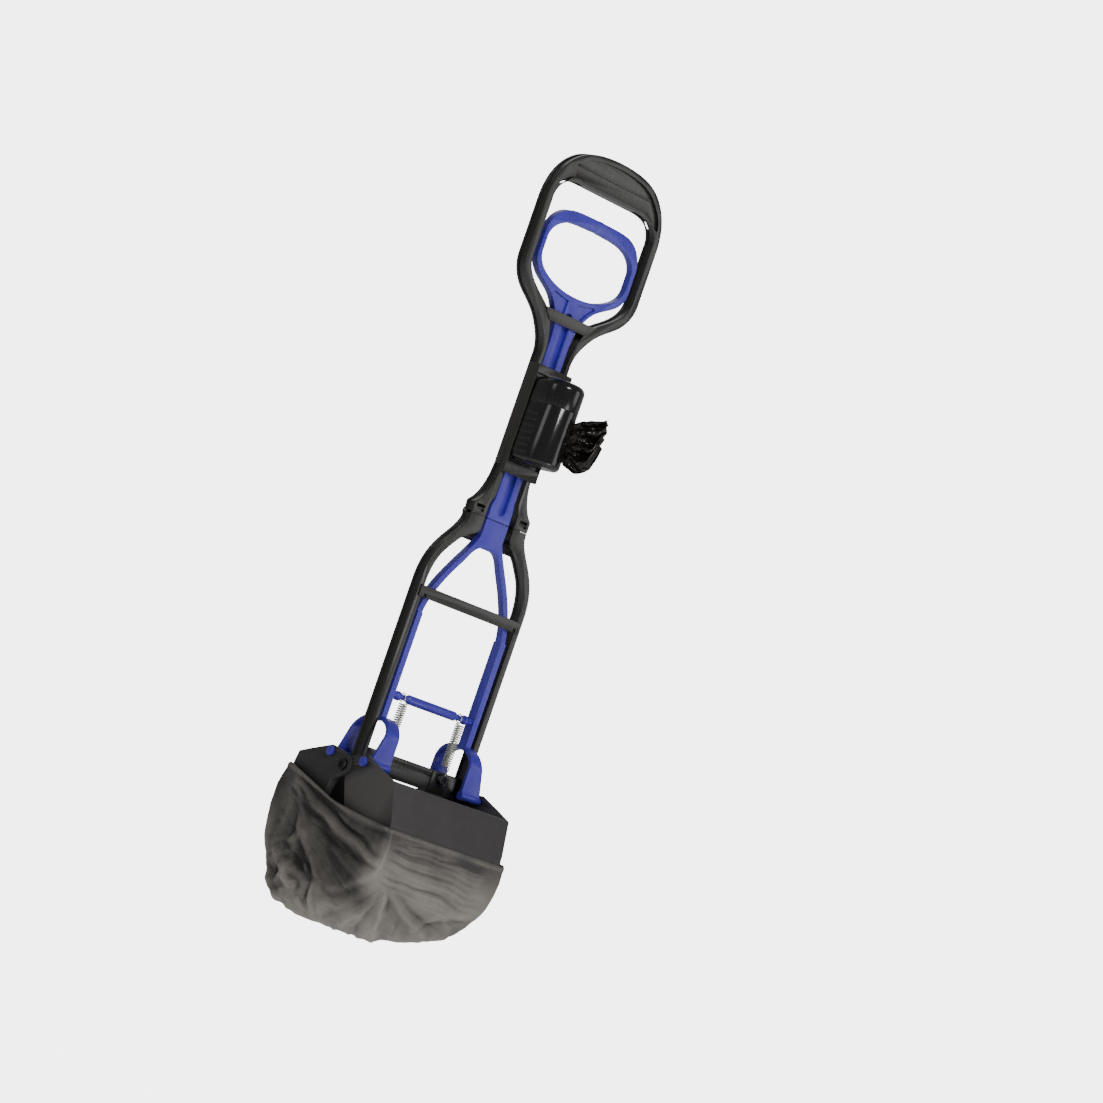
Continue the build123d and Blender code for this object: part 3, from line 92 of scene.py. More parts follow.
lights = {
    "key": {"place": (-0.9, -2.9, 1.3), "aim": (0, 0, -0.35), "size": 0.8, "power": 42},
    "side": {"place": (2.0, -2.1, 0.3), "aim": (0, 0, -0.4), "size": 1.2, "power": 7},
    "left": {"place": (-2.9, 0.4, 0.6), "aim": (0, 0, -0.4), "size": 1.0, "power": 5},
    "rim": {"place": (0.9, 2.0, 1.1), "aim": (0, 0, -0.3), "size": 2.2, "power": 10},
    "low": {"place": (0.5, -1.9, -0.85), "aim": (0, 0, -0.62), "size": 0.8, "power": 6},
}


def addLights():
    for name, light in lights.items():
        data = bpy.data.lights.new(name, "AREA")
        data.energy = light["power"]
        data.size = light["size"]
        holder = bpy.data.objects.new(name, data)
        place = Vector(light["place"])
        aim = Vector(light["aim"]) - place
        holder.matrix_world = Matrix.Translation(place) @ aim.to_track_quat("-Z", "Y").to_matrix().to_4x4()
        bpy.context.scene.collection.objects.link(holder)


glow = {"seen": 4.6, "cast": 0.17, "backdropCast": 0.10}


def seenStrength(tree, cast):
    # Bright where the camera looks at it, soft where it only lights the object
    path = addNode(tree, "ShaderNodeLightPath")
    strength = addNode(tree, "ShaderNodeMapRange")
    strength.inputs["To Min"].default_value = cast
    strength.inputs["To Max"].default_value = glow["seen"]
    link(tree, path.outputs["Is Camera Ray"], strength.inputs["Value"])
    return strength.outputs["Result"]


def addWorld():
    world = bpy.data.worlds.new("studio")
    bpy.context.scene.world = world
    world.use_nodes = True
    background = world.node_tree.nodes["Background"]
    background.inputs["Color"].default_value = (1.0, 1.0, 1.0, 1)
    link(world.node_tree, seenStrength(world.node_tree, glow["cast"]), background.inputs["Strength"])


# Meshes

def gridObject(name, grid):
    # A smooth sheet: each face joins four neighbouring points of the grid
    rows, columns = grid.shape[:2]
    index = np.arange(rows * columns).reshape(rows, columns)
    corners = [index[:-1, :-1], index[:-1, 1:], index[1:, 1:], index[1:, :-1]]
    faces = np.stack(corners, axis=-1).reshape(-1, 4)
    mesh = bpy.data.meshes.new(name)
    mesh.from_pydata(grid.reshape(-1, 3).tolist(), [], faces.tolist())
    mesh.update()
    mesh.shade_smooth()
    made = bpy.data.objects.new(name, mesh)
    bpy.context.scene.collection.objects.link(made)
    return made


def storeAttribute(item, name, values):
    attribute = item.data.attributes.new(name, "FLOAT", "POINT")
    attribute.data.foreach_set("value", np.asarray(values, np.float32).ravel())


# Shader building blocks

def link(tree, source, target):
    tree.links.new(source, target)


def addNode(tree, kind, **values):
    node = tree.nodes.new(kind)
    for name, value in values.items():
        if name in node.inputs:
            node.inputs[name].default_value = value
        else:
            setattr(node, name, value)
    return node


def addSum(tree, start, shares):
    # A number plus shares of the values stored on the mesh
    total = addNode(tree, "ShaderNodeValue").outputs["Value"]
    total.default_value = start
    for name, share in shares.items():
        stored = addNode(tree, "ShaderNodeAttribute", attribute_name=name)
        step = addNode(tree, "ShaderNodeMath", operation="MULTIPLY_ADD")
        link(tree, stored.outputs["Fac"], step.inputs[0])
        step.inputs[1].default_value = share
        link(tree, total, step.inputs[2])
        total = step.outputs["Value"]
    return total


wear = {
    "grainDetail": 3.0,
    "grainDistance": 0.0004,
    "drift": {"Scale": 38.0, "Detail": 5.0, "Roughness": 0.6},
    "driftRange": (0.3, 0.7),
    "streakStretch": (260.0, 260.0, 14.0),
    "streak": {"Scale": 1.0, "Detail": 2.0},
    "streakGloss": 0.12,
    "edgeRange": (0.52, 0.62),
}


def wearGroup():
    # Fine grain, a slow drift of brightness (1 plus noise times its share), streaks in the gloss, and edges
    # that turn paler with how far they stick out
    tree = bpy.data.node_groups.new("mouldedSurface", "ShaderNodeTree")
    face = tree.interface
    for name in ("Base", "Edge"):
        face.new_socket(name, in_out="INPUT", socket_type="NodeSocketColor")
    for name in ("Roughness", "Grain Size", "Grain Depth", "Drift", "Edge Amount"):
        face.new_socket(name, in_out="INPUT", socket_type="NodeSocketFloat")
    face.new_socket("Color", in_out="OUTPUT", socket_type="NodeSocketColor")
    face.new_socket("Roughness", in_out="OUTPUT", socket_type="NodeSocketFloat")
    face.new_socket("Normal", in_out="OUTPUT", socket_type="NodeSocketVector")
    start = addNode(tree, "NodeGroupInput")
    end = addNode(tree, "NodeGroupOutput")
    place = addNode(tree, "ShaderNodeTexCoord")
    grain = addNode(tree, "ShaderNodeTexNoise", Detail=wear["grainDetail"])
    link(tree, place.outputs["Object"], grain.inputs["Vector"])
    link(tree, start.outputs["Grain Size"], grain.inputs["Scale"])
    smear = addNode(tree, "ShaderNodeTexNoise", **wear["drift"])
    link(tree, place.outputs["Object"], smear.inputs["Vector"])
    scratch = addNode(tree, "ShaderNodeMapping")
    scratch.inputs["Scale"].default_value = wear["streakStretch"]
    link(tree, place.outputs["Object"], scratch.inputs["Vector"])
    flow = addNode(tree, "ShaderNodeTexNoise", **wear["streak"])
    link(tree, scratch.outputs["Vector"], flow.inputs["Vector"])
    smearRange = addNode(tree, "ShaderNodeMapRange")
    smearRange.inputs["From Min"].default_value = wear["driftRange"][0]
    smearRange.inputs["From Max"].default_value = wear["driftRange"][1]
    smearRange.inputs["To Min"].default_value = -1.0
    smearRange.inputs["To Max"].default_value = 1.0
    link(tree, smear.outputs["Fac"], smearRange.inputs["Value"])
    driftAmount = addNode(tree, "ShaderNodeMath", operation="MULTIPLY")
    link(tree, smearRange.outputs["Result"], driftAmount.inputs[0])
    link(tree, start.outputs["Drift"], driftAmount.inputs[1])
    value = addNode(tree, "ShaderNodeMath", operation="ADD")
    link(tree, driftAmount.outputs["Value"], value.inputs[0])
    value.inputs[1].default_value = 1.0
    shaded = addNode(tree, "ShaderNodeHueSaturation")
    link(tree, start.outputs["Base"], shaded.inputs["Color"])
    link(tree, value.outputs["Value"], shaded.inputs["Value"])
    geometry = addNode(tree, "ShaderNodeNewGeometry")
    edge = addNode(tree, "ShaderNodeMapRange")
    edge.inputs["From Min"].default_value = wear["edgeRange"][0]
    edge.inputs["From Max"].default_value = wear["edgeRange"][1]
    link(tree, geometry.outputs["Pointiness"], edge.inputs["Value"])
    edgeAmount = addNode(tree, "ShaderNodeMath", operation="MULTIPLY")
    link(tree, edge.outputs["Result"], edgeAmount.inputs[0])
    link(tree, start.outputs["Edge Amount"], edgeAmount.inputs[1])
    mixed = addNode(tree, "ShaderNodeMix", data_type="RGBA")
    link(tree, edgeAmount.outputs["Value"], mixed.inputs[0])
    link(tree, shaded.outputs["Color"], mixed.inputs[6])
    link(tree, start.outputs["Edge"], mixed.inputs[7])
    link(tree, mixed.outputs[2], end.inputs["Color"])
    roughDrift = addNode(tree, "ShaderNodeMath", operation="MULTIPLY_ADD")
    link(tree, flow.outputs["Fac"], roughDrift.inputs[0])
    roughDrift.inputs[1].default_value = wear["streakGloss"]
    link(tree, start.outputs["Roughness"], roughDrift.inputs[2])
    link(tree, roughDrift.outputs["Value"], end.inputs["Roughness"])
    bump = addNode(tree, "ShaderNodeBump", Distance=wear["grainDistance"])
    link(tree, grain.outputs["Fac"], bump.inputs["Height"])
    link(tree, start.outputs["Grain Depth"], bump.inputs["Strength"])
    link(tree, bump.outputs["Normal"], end.inputs["Normal"])
    return tree


def newMaterial(name):
    material = bpy.data.materials.new(name)
    material.use_nodes = True
    material.node_tree.nodes.clear()
    return material, material.node_tree


# What a finish has unless its own settings say otherwise
plainFinish = {
    "grainSize": 900.0,
    "grainDepth": 0.1,
    "drift": 0.12,
    "edgeAmount": 0.5,
    "metallic": 0.0,
    "specular": 0.5,
    "subsurface": 0.0,
    "scatter": (1.0, 1.0, 1.0),
    "scatterScale": 0.002,
    "coat": 0.0,
    "coatRoughness": 0.15,
}


def mouldedMaterial(name, group, settings):
    # The worn surface gives colour, roughness and grain to one plastic or metal shader
    settings = {**plainFinish, **settings}
    material, tree = newMaterial(name)
    surface = addNode(tree, "ShaderNodeGroup", node_tree=group)
    surface.inputs["Base"].default_value = (*settings["base"], 1)
    surface.inputs["Edge"].default_value = (*settings["edge"], 1)
    surface.inputs["Roughness"].default_value = settings["roughness"]
    surface.inputs["Grain Size"].default_value = settings["grainSize"]
    surface.inputs["Grain Depth"].default_value = settings["grainDepth"]
    surface.inputs["Drift"].default_value = settings["drift"]
    surface.inputs["Edge Amount"].default_value = settings["edgeAmount"]
    shader = addNode(tree, "ShaderNodeBsdfPrincipled")
    shader.inputs["Metallic"].default_value = settings["metallic"]
    shader.inputs["Specular IOR Level"].default_value = settings["specular"]
    shader.inputs["Subsurface Weight"].default_value = settings["subsurface"]
    shader.inputs["Subsurface Radius"].default_value = settings["scatter"]
    shader.inputs["Subsurface Scale"].default_value = settings["scatterScale"]
    shader.inputs["Coat Weight"].default_value = settings["coat"]
    shader.inputs["Coat Roughness"].default_value = settings["coatRoughness"]
    link(tree, surface.outputs["Color"], shader.inputs["Base Color"])
    link(tree, surface.outputs["Roughness"], shader.inputs["Roughness"])
    link(tree, surface.outputs["Normal"], shader.inputs["Normal"])
    end = addNode(tree, "ShaderNodeOutputMaterial")
    link(tree, shader.outputs["BSDF"], end.inputs["Surface"])
    return material


finishes = {
    "black_plastic": {
        "base": (0.018, 0.017, 0.0155), "edge": (0.05, 0.048, 0.042), "roughness": 0.22, "specular": 0.7,
        "grainDepth": 0.012,
    },
    "canister_plastic": {
        "base": (0.010, 0.0095, 0.009), "edge": (0.03, 0.029, 0.028), "roughness": 0.10, "specular": 0.7,
        "grainDepth": 0.03,
    },
    "blue_plastic": {
        "base": (0.060, 0.042, 0.50), "edge": (0.12, 0.11, 0.62), "roughness": 0.26, "specular": 0.6,
        "subsurface": 0.25, "scatter": (0.3, 0.35, 1.0),
    },
    "jaw_plastic": {
        "base": (0.044, 0.041, 0.041), "edge": (0.16, 0.155, 0.15), "roughness": 0.56, "specular": 0.4,
        "grainSize": 1500.0, "grainDepth": 0.22,
    },
    "steel": {
        "base": (0.50, 0.50, 0.49), "edge": (0.8, 0.8, 0.8), "roughness": 0.26, "metallic": 1.0,
        "grainDepth": 0.03,
    },
    "dark_steel": {
        "base": (0.055, 0.054, 0.052), "edge": (0.22, 0.22, 0.21), "roughness": 0.34, "metallic": 1.0,
        "grainDepth": 0.05,
    },
    "spring_steel": {
        "base": (0.66, 0.65, 0.58), "edge": (0.80, 0.79, 0.72), "roughness": 0.30, "metallic": 1.0,
        "grainDepth": 0.02,
    },
    "card_core": {
        "base": (0.38, 0.29, 0.20), "edge": (0.5, 0.4, 0.3), "roughness": 0.75, "grainDepth": 0.5,
    },
    "roll_film": {"base": (0.016, 0.016, 0.017), "edge": (0.05, 0.05, 0.05), "roughness": 0.22, "coat": 0.3},
}


# What both films share
filmBase = {
    "cloud": {"Detail": 6.0, "Roughness": 0.65},
    "contrast": 0.40,
    "fine": {"Detail": 4.0, "Distortion": 0.8},
    "bumpDistance": 0.0012,
    "specular": 0.55,
    "facingBlend": 0.35,
}


def filmMaterial(name, settings):
    # Thin film: part of the light passes straight through, the rest is spread or mirrored. Its brightness is
    # cloudy noise times a contrast plus a level, which both change with the values stored on the mesh
    material, tree = newMaterial(name)
    place = addNode(tree, "ShaderNodeTexCoord")
    streak = addNode(tree, "ShaderNodeTexNoise", Scale=settings["cloud"], **filmBase["cloud"])
    link(tree, place.outputs["Object"], streak.inputs["Vector"])
    ramp = addNode(tree, "ShaderNodeValToRGB")
    ramp.color_ramp.elements[0].position = 0.0
    ramp.color_ramp.elements[0].color = (*settings["dark"], 1)
    ramp.color_ramp.elements[1].position = 1.0
    ramp.color_ramp.elements[1].color = (*settings["pale"], 1)
    level = addNode(tree, "ShaderNodeMath", operation="MULTIPLY_ADD")
    link(tree, streak.outputs["Fac"], level.inputs[0])
    link(tree, addSum(tree, filmBase["contrast"], settings["mottle"]), level.inputs[1])
    # The level's shares include painted shade in the folds' grooves and painted light on their ridges
    link(tree, addSum(tree, settings["level"], settings["paler"]), level.inputs[2])
    link(tree, level.outputs["Value"], ramp.inputs["Fac"])
    fine = addNode(tree, "ShaderNodeTexNoise", Scale=settings["fine"], **filmBase["fine"])
    link(tree, place.outputs["Object"], fine.inputs["Vector"])
    bump = addNode(tree, "ShaderNodeBump", Strength=settings["bump"], Distance=filmBase["bumpDistance"])
    link(tree, fine.outputs["Fac"], bump.inputs["Height"])
    shader = addNode(tree, "ShaderNodeBsdfPrincipled")
    shader.inputs["Roughness"].default_value = settings["roughness"]
    shader.inputs["Specular IOR Level"].default_value = filmBase["specular"]
    link(tree, ramp.outputs["Color"], shader.inputs["Base Color"])
    link(tree, bump.outputs["Normal"], shader.inputs["Normal"])
    spread = addNode(tree, "ShaderNodeBsdfTranslucent")
    link(tree, ramp.outputs["Color"], spread.inputs["Color"])
    link(tree, bump.outputs["Normal"], spread.inputs["Normal"])
    body = addNode(tree, "ShaderNodeMixShader")
    body.inputs["Fac"].default_value = settings["translucent"]
    link(tree, shader.outputs["BSDF"], body.inputs[1])
    link(tree, spread.outputs["BSDF"], body.inputs[2])
    clear = addNode(tree, "ShaderNodeBsdfTransparent")
    clear.inputs["Color"].default_value = (*settings["tint"], 1)
    facing = addNode(tree, "ShaderNodeLayerWeight", Blend=filmBase["facingBlend"])
    seeThrough = addNode(tree, "ShaderNodeMapRange")
    seeThrough.inputs["To Max"].default_value = 1.0
    link(tree, facing.outputs["Facing"], seeThrough.inputs["Value"])
    link(tree, addSum(tree, 1 - settings["clear"], settings["denser"]), seeThrough.inputs["To Min"])
    whole = addNode(tree, "ShaderNodeMixShader")
    link(tree, seeThrough.outputs["Result"], whole.inputs["Fac"])
    link(tree, clear.outputs["BSDF"], whole.inputs[1])
    link(tree, body.outputs["Shader"], whole.inputs[2])
    end = addNode(tree, "ShaderNodeOutputMaterial")
    link(tree, whole.outputs["Shader"], end.inputs["Surface"])
    return material


films = {
    "bag_film": {
        "dark": (0.070, 0.064, 0.059), "pale": (0.82, 0.765, 0.69), "cloud": 34.0, "fine": 230.0,
        "bump": 0.14, "roughness": 0.38, "translucent": 0.25, "clear": 0.30, "tint": (0.72, 0.68, 0.63),
        "level": 0.30, "mottle": {"lump": 0.9},
        # The fold height's share paints shade into the grooves and light onto the ridges
        "paler": {"backing": -0.47, "lump": -0.42, "seam": 0.20, "foldShading": 0.17, "hem": 0.08},
        "denser": {"lump": -0.16, "hem": 0.10, "backing": 0.12},
    },
    "tail_film": {
        "dark": (0.006, 0.005, 0.0045), "pale": (0.018, 0.014, 0.012), "cloud": 60.0, "fine": 300.0,
        "bump": 0.08, "roughness": 0.20, "translucent": 0.20, "clear": 0.05, "tint": (0.42, 0.26, 0.18),
        "level": 0.28, "mottle": {}, "paler": {}, "denser": {},
    },
}


nodeFinish = {
    "upper_frame": "black_plastic",
    "lower_frame": "black_plastic",
    "leg_crossbar": "black_plastic",
    "dispenser_bracket": "black_plastic",
    "spring_anchor_left": "black_plastic",
    "spring_anchor_right": "black_plastic",
    "dispenser_body": "canister_plastic",
    "dispenser_cap": "canister_plastic",
    "pull_rod": "blue_plastic",
    "yoke": "blue_plastic",
    "link_pins": "blue_plastic",
    "front_jaw": "jaw_plastic",
    "rear_jaw": "jaw_plastic",
    "fold_hinge_pins": "steel",
    "hinge_pin_middle": "steel",
    "hinge_pin_ends": "steel",
    "seam_pins": "dark_steel",
    "anchor_screws": "dark_steel",
    "jaw_pivot_screws": "dark_steel",
    "jaw_pivot_nuts": "dark_steel",
    "spring_left": "spring_steel",
    "spring_right": "spring_steel",
    "bag_roll": "roll_film",
    "roll_core": "card_core",
}

# Widths in mm, and angles in degrees
bevels = {
    "upper_frame": 0.9, "lower_frame": 0.8, "leg_crossbar": 0.5, "dispenser_bracket": 0.5,
    "dispenser_body": 0.35, "dispenser_cap": 0.35, "pull_rod": 0.9, "yoke": 0.9, "link_pins": 0.6,
    "front_jaw": 0.35, "rear_jaw": 0.35, "spring_anchor_left": 0.25, "spring_anchor_right": 0.25,
    "anchor_screws": 0.3, "jaw_pivot_screws": 0.4, "jaw_pivot_nuts": 0.3,
}
edges = {"merge": 0.02, "flatAngle": 1.0, "segments": 3, "bevelAngle": 32, "sharpAngle": 28}


def softenEdges(item, width):
    # Triangles of one flat are joined again, so that the bevel finds only the real edges
    merge = item.modifiers.new("merge", "WELD")
    merge.merge_threshold = edges["merge"] * mm
    flat = item.modifiers.new("flat", "DECIMATE")
    flat.decimate_type = "DISSOLVE"
    flat.angle_limit = math.radians(edges["flatAngle"])
    bevel = item.modifiers.new("bevel", "BEVEL")
    bevel.width = width * mm
    bevel.segments = edges["segments"]
    bevel.limit_method = "ANGLE"
    bevel.angle_limit = math.radians(edges["bevelAngle"])
    bevel.harden_normals = True


def finishNodes():
    group = wearGroup()
    materials = {name: mouldedMaterial(name, group, settings) for name, settings in finishes.items()}
    for name, finish in nodeFinish.items():
        item = nodes[name]
        item.data.materials.clear()
        item.data.materials.append(materials[finish])
        item.data.polygons.foreach_set("use_smooth", [True] * len(item.data.polygons))
        item.data.set_sharp_from_angle(angle=math.radians(edges["sharpAngle"]))
        if name in bevels:
            softenEdges(item, bevels[name])


# Springs: each one is copied in place as a fixed mesh, and the imported spring is hidden


def addSprings():
    for name in ("spring_left", "spring_right"):
        node = nodes[name]
        coil = bpy.data.objects.new(name + "_coil", node.data.copy())
        coil.matrix_world = node.matrix_world
        bpy.context.scene.collection.objects.link(coil)
        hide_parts(name)
        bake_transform(coil)


# Bag: two halves that meet under the jaws' axle, in mm from that axle

bag = {
    "columns": 520,
    "rows": 136,
    "profileY": [
        (81.8, -34), (83.6, -43), (84.6, -53), (84.4, -66), (82.0, -82), (76.0, -99), (64.0, -115),
        (43.0, -129), (20.0, -138.0), (0.0, -140.0),
    ],
    "profileX": [
        (72.5, -34), (72.5, -43), (72.3, -53), (72.0, -66), (71.6, -82), (68.2, -99), (65.6, -115),
        (45.0, -129), (20.0, -138.0), (0.0, -140.0),
    ],
    "square": [60, 60, 50, 34, 20, 11, 5, 3.7, 2.8, 2.0],
    "middle": (0, 0, -70.0),
    "rimSide": [(-84, -39), (-50, -37), (-10, -33), (0, -31), (30, -23), (65, -14), (84, -12)],
    "rimFront": [(-72, -39), (0, -41.5), (72, -42)],
    "rimRear": -14,
    "rimCorners": {"front": (-84, -80), "rear": (78, 83)},
    "rimFade": 0.45,
    "hem": {"height": 1.0, "depth": 4.4, "middle": 0.5, "sharpness": 5, "start": 0.9},
    "lean": {"heights": (-34, -10), "reach": 7.0, "faces": (60, 80)},
    "slack": {"depth": 2.4, "reach": 78, "ends": (50, 66)},
    "jawY": [
        (-105, 43.9), (-101.5, 52.9), (-84.9, 72.0), (-69.4, 80.7), (-52.1, 83.3), (-31.7, 80.2),
        (-0.5, 70.6),
    ],
    "jawX": [(-105, 63.5), (-60, 70.6), (0, 71.2)],
    "lipReach": -118,
    "edgeFade": 0.06,
    "clearance": 0.8,
    "bulge": {"centre": (-58, 18, -112), "radius": 34, "push": (-9.5, 9.5, -13.5)},
    "nearSeed": (3.1, 7.7, 1.3),
    "farSeed": (13.4, 2.2, 5.9),
    "sides": (-12, 12),
    "deepest": -4.0,
    "highest": 4.5,
    # Fold height at which the painted shade in a groove and the painted light on a ridge are strongest
    "foldShadingHeight": 3,
    "thickness": 0.3,
    "blendReach": 35,
    # Where the jaws lie behind the film and darken it
    "backing": {"faces": (62, 78), "faceHeights": (-90, -34), "endShare": 0.8, "endHeights": (-134, -94)},
    # The film's seam, on both sides of the bag: points picked on the crop, then half width and height
    "seam": {
        "points": [(842, 585), (836, 630), (822, 680), (805, 730), (780, 785), (745, 830)],
        "width": 0.8,
        "height": 0.9,
    },
    "foldShape": {"scale": 1.5, "ends": 0.35, "tips": (0.02, 0.98), "power": 1.3},
    # Fine folds that run away from one point, in mm across and up as a side of the bag is seen
    "fans": {
        "side": {
            "centre": (-242, -52), "start": 252, "end": 322, "top": -44, "bottom": -86, "height": 2.3,
            "spacing": 3.4,
        },
        "hem": {
            "centre": (-190, 20), "start": 108, "end": 206, "top": -30, "bottom": -78, "height": 1.3,
            "spacing": 4.6, "sideEnd": (2, 8),
        },
    },
    "fanShape": {
        "stretch": 0.012, "base": 0.7, "sharpness": 3.0, "deepest": 1.6, "startFade": (4, 8), "endFade": 30,
        "topFade": (2, 4), "bottomFade": (12, 6),
    },
    "wobble": {"scale": 0.05, "bend": 3, "height": 1.2},
    "mound": {"centre": (-76, -106), "radius": 23, "power": 4, "height": 2.4, "scale": 0.075},
    "foot": {"heights": (-126, -100), "height": 1.6, "stretch": (1.2, 0.7, 1.0), "scale": 0.055},
    "crease": {"base": 1.2, "sharpness": 3, "roundness": 0.004},
    "flatSide": {"across": (88, 104), "heights": (-100, -80)},
}

# A six-fold crop of the photograph, for points picked on it: the photograph's pixel at its corner,
# the pixel of the jaws' axle, the real size of a pixel there, and how far the scooper leans
crop = {"zoom": 6, "corner": (250, 730), "axle": (401, 784), "pixel": 0.9, "lean": 19.5}

# Folds: points picked on the crop, then half width and height in mm
folds = {
    "hem": ([(285, 225), (340, 275), (430, 335), (510, 385), (600, 450), (700, 510), (840, 578)], 2.2, 1.3),
    "hemGroove": ([(300, 285), (400, 370), (480, 450), (590, 560), (690, 670), (770, 735)], 2.3, -2.6),
    "longRidge": ([(285, 300), (370, 410), (470, 520), (570, 610), (680, 710), (765, 800)], 2.6, 2.4),
    "secondGroove": ([(300, 350), (380, 480), (500, 620), (640, 740), (740, 812)], 2.4, -1.7),
    "hemFoldA": ([(400, 350), (520, 450), (640, 540), (760, 610), (830, 640)], 1.6, -0.9),
    "hemFoldB": ([(520, 470), (640, 580), (740, 660), (815, 690)], 1.7, 1.0),
    "hemFoldC": ([(600, 540), (700, 620), (800, 700)], 1.3, -0.8),
    "cornerDrop": ([(262, 260), (285, 380), (330, 500), (420, 572)], 2.6, 2.0),
    "cornerDropGroove": ([(300, 400), (350, 520), (440, 600), (560, 700), (660, 770)], 2.5, -1.5),
    "leftPleatA": ([(245, 300), (215, 440), (165, 580), (100, 640)], 2.6, 1.7),
    "leftPleatB": ([(275, 460), (250, 560), (215, 625)], 1.8, -1.7),
    "leftPleatC": ([(300, 480), (285, 560), (320, 600)], 1.8, 1.2),
    "lumpTop": ([(75, 668), (120, 640), (190, 628), (260, 640)], 1.7, 1.8),
    "lumpRight": ([(250, 640), (320, 600), (335, 690), (355, 790), (400, 880)], 2.3, 2.2),
    "lumpValley": ([(300, 650), (310, 740), (345, 840), (420, 905)], 2.2, -2.6),
    "lumpA": ([(200, 640), (255, 740), (300, 810), (335, 870)], 1.9, -2.6),
    "lumpB": ([(150, 700), (190, 770), (175, 850), (215, 930)], 2.0, 2.0),
    "lumpC": ([(215, 850), (265, 860), (235, 930), (285, 985)], 1.5, -2.4),
    "lumpD": ([(110, 760), (140, 830), (130, 900), (190, 990)], 1.9, -1.6),
    "lumpE": ([(230, 930), (275, 1000), (320, 1045)], 1.6, 2.2),
    "lumpF": ([(335, 870), (315, 950), (300, 1040)], 1.8, -2.4),
    "lumpG": ([(360, 880), (350, 970), (370, 1060)], 1.8, 1.4),
    "lumpH": ([(260, 760), (330, 800), (390, 890)], 1.5, 1.6),
    "foot": ([(740, 830), (640, 880), (540, 905), (430, 900)], 3.2, 1.9),
    "footUnder": ([(700, 890), (560, 950), (430, 950)], 2.8, -1.0),
    "slackA": ([(420, 620), (500, 720), (560, 800), (600, 860)], 4.0, -1.4),
    "point": ([(810, 945), (812, 1000), (800, 1045)], 1.7, -2.2),
    "pointLeft": ([(805, 955), (765, 1040), (735, 1150), (712, 1250)], 2.4, 2.2),
    "pointLeftGroove": ([(775, 960), (700, 1060), (640, 1150), (610, 1215)], 2.2, -1.7),
    "pointSweep": ([(790, 975), (680, 1040), (560, 1100), (470, 1165)], 2.4, 1.5),
    "pointSweepGroove": ([(770, 930), (640, 1010), (500, 1070), (400, 1090)], 2.2, -1.3),
    "pointRight": ([(825, 975), (870, 1060), (950, 1160), (1040, 1245)], 2.4, 1.9),
    "pointRightGroove": ([(835, 930), (920, 1040), (1010, 1130), (1110, 1210)], 2.4, -1.4),
    "underFan": ([(830, 860), (940, 930), (1100, 985), (1250, 1030), (1370, 1065)], 2.8, -1.6),
    "underFanRidge": ([(850, 840), (980, 890), (1150, 945), (1320, 1000), (1430, 1010)], 2.4, 1.2),
    "rightLow": ([(960, 1150), (1080, 1110), (1200, 1095), (1340, 1085)], 2.6, 1.4),
    "rightLowGroove": ([(930, 1180), (1060, 1150), (1190, 1130), (1300, 1140)], 2.2, -1.2),
    "bottomA": ([(520, 1120), (560, 1150), (580, 1205)], 1.8, 1.4),
    "bottomB": ([(850, 1130), (840, 1180), (830, 1225)], 1.8, -1.5),
    "bottomC": ([(920, 1150), (935, 1190), (940, 1225)], 1.6, 1.2),
    "bottomD": ([(1120, 1130), (1150, 1170), (1170, 1205)], 1.9, 1.3),
    "bottomE": ([(420, 1010), (410, 1070), (430, 1150)], 1.9, 1.5),
}

# Each octave of the noise is finer by the lacunarity, and weaker by that to the power of the increment
fractal = {"increment": 1.0, "lacunarity": 2.0}


def smoothStep(low, high, value):
    # 0 below the low end, 1 above the high end, and 3 s ** 2 - 2 s ** 3 of the share s between them
    share = np.clip((value - low) / (high - low), 0, 1)
    return share * share * (3 - 2 * share)


def noiseField(points, scale, seed, octaves):
    # Fractal noise at each point times the scale, shifted by the seed
    shift = Vector(seed)
    increment, lacunarity = fractal["increment"], fractal["lacunarity"]
    return np.array([
        noise.fractal(Vector(point) * scale + shift, increment, lacunarity, octaves)
        for point in points.reshape(-1, 3)
    ]).reshape(points.shape[:-1])


def column(pairs, index):
    return [pair[index] for pair in pairs]


def fromCrop(points):
    # A crop pixel's step from the axle, scaled to mm and turned upright: (across, up) square to the view
    pixels = np.array(points, float) / crop["zoom"] + np.array(crop["corner"])
    step = (pixels - np.array(crop["axle"])) * crop["pixel"]
    lean = math.radians(crop["lean"])
    across = step[:, 0] * math.cos(lean) + step[:, 1] * math.sin(lean)
    up = step[:, 0] * math.sin(lean) - step[:, 1] * math.cos(lean)
    return np.stack([across, up], axis=1)


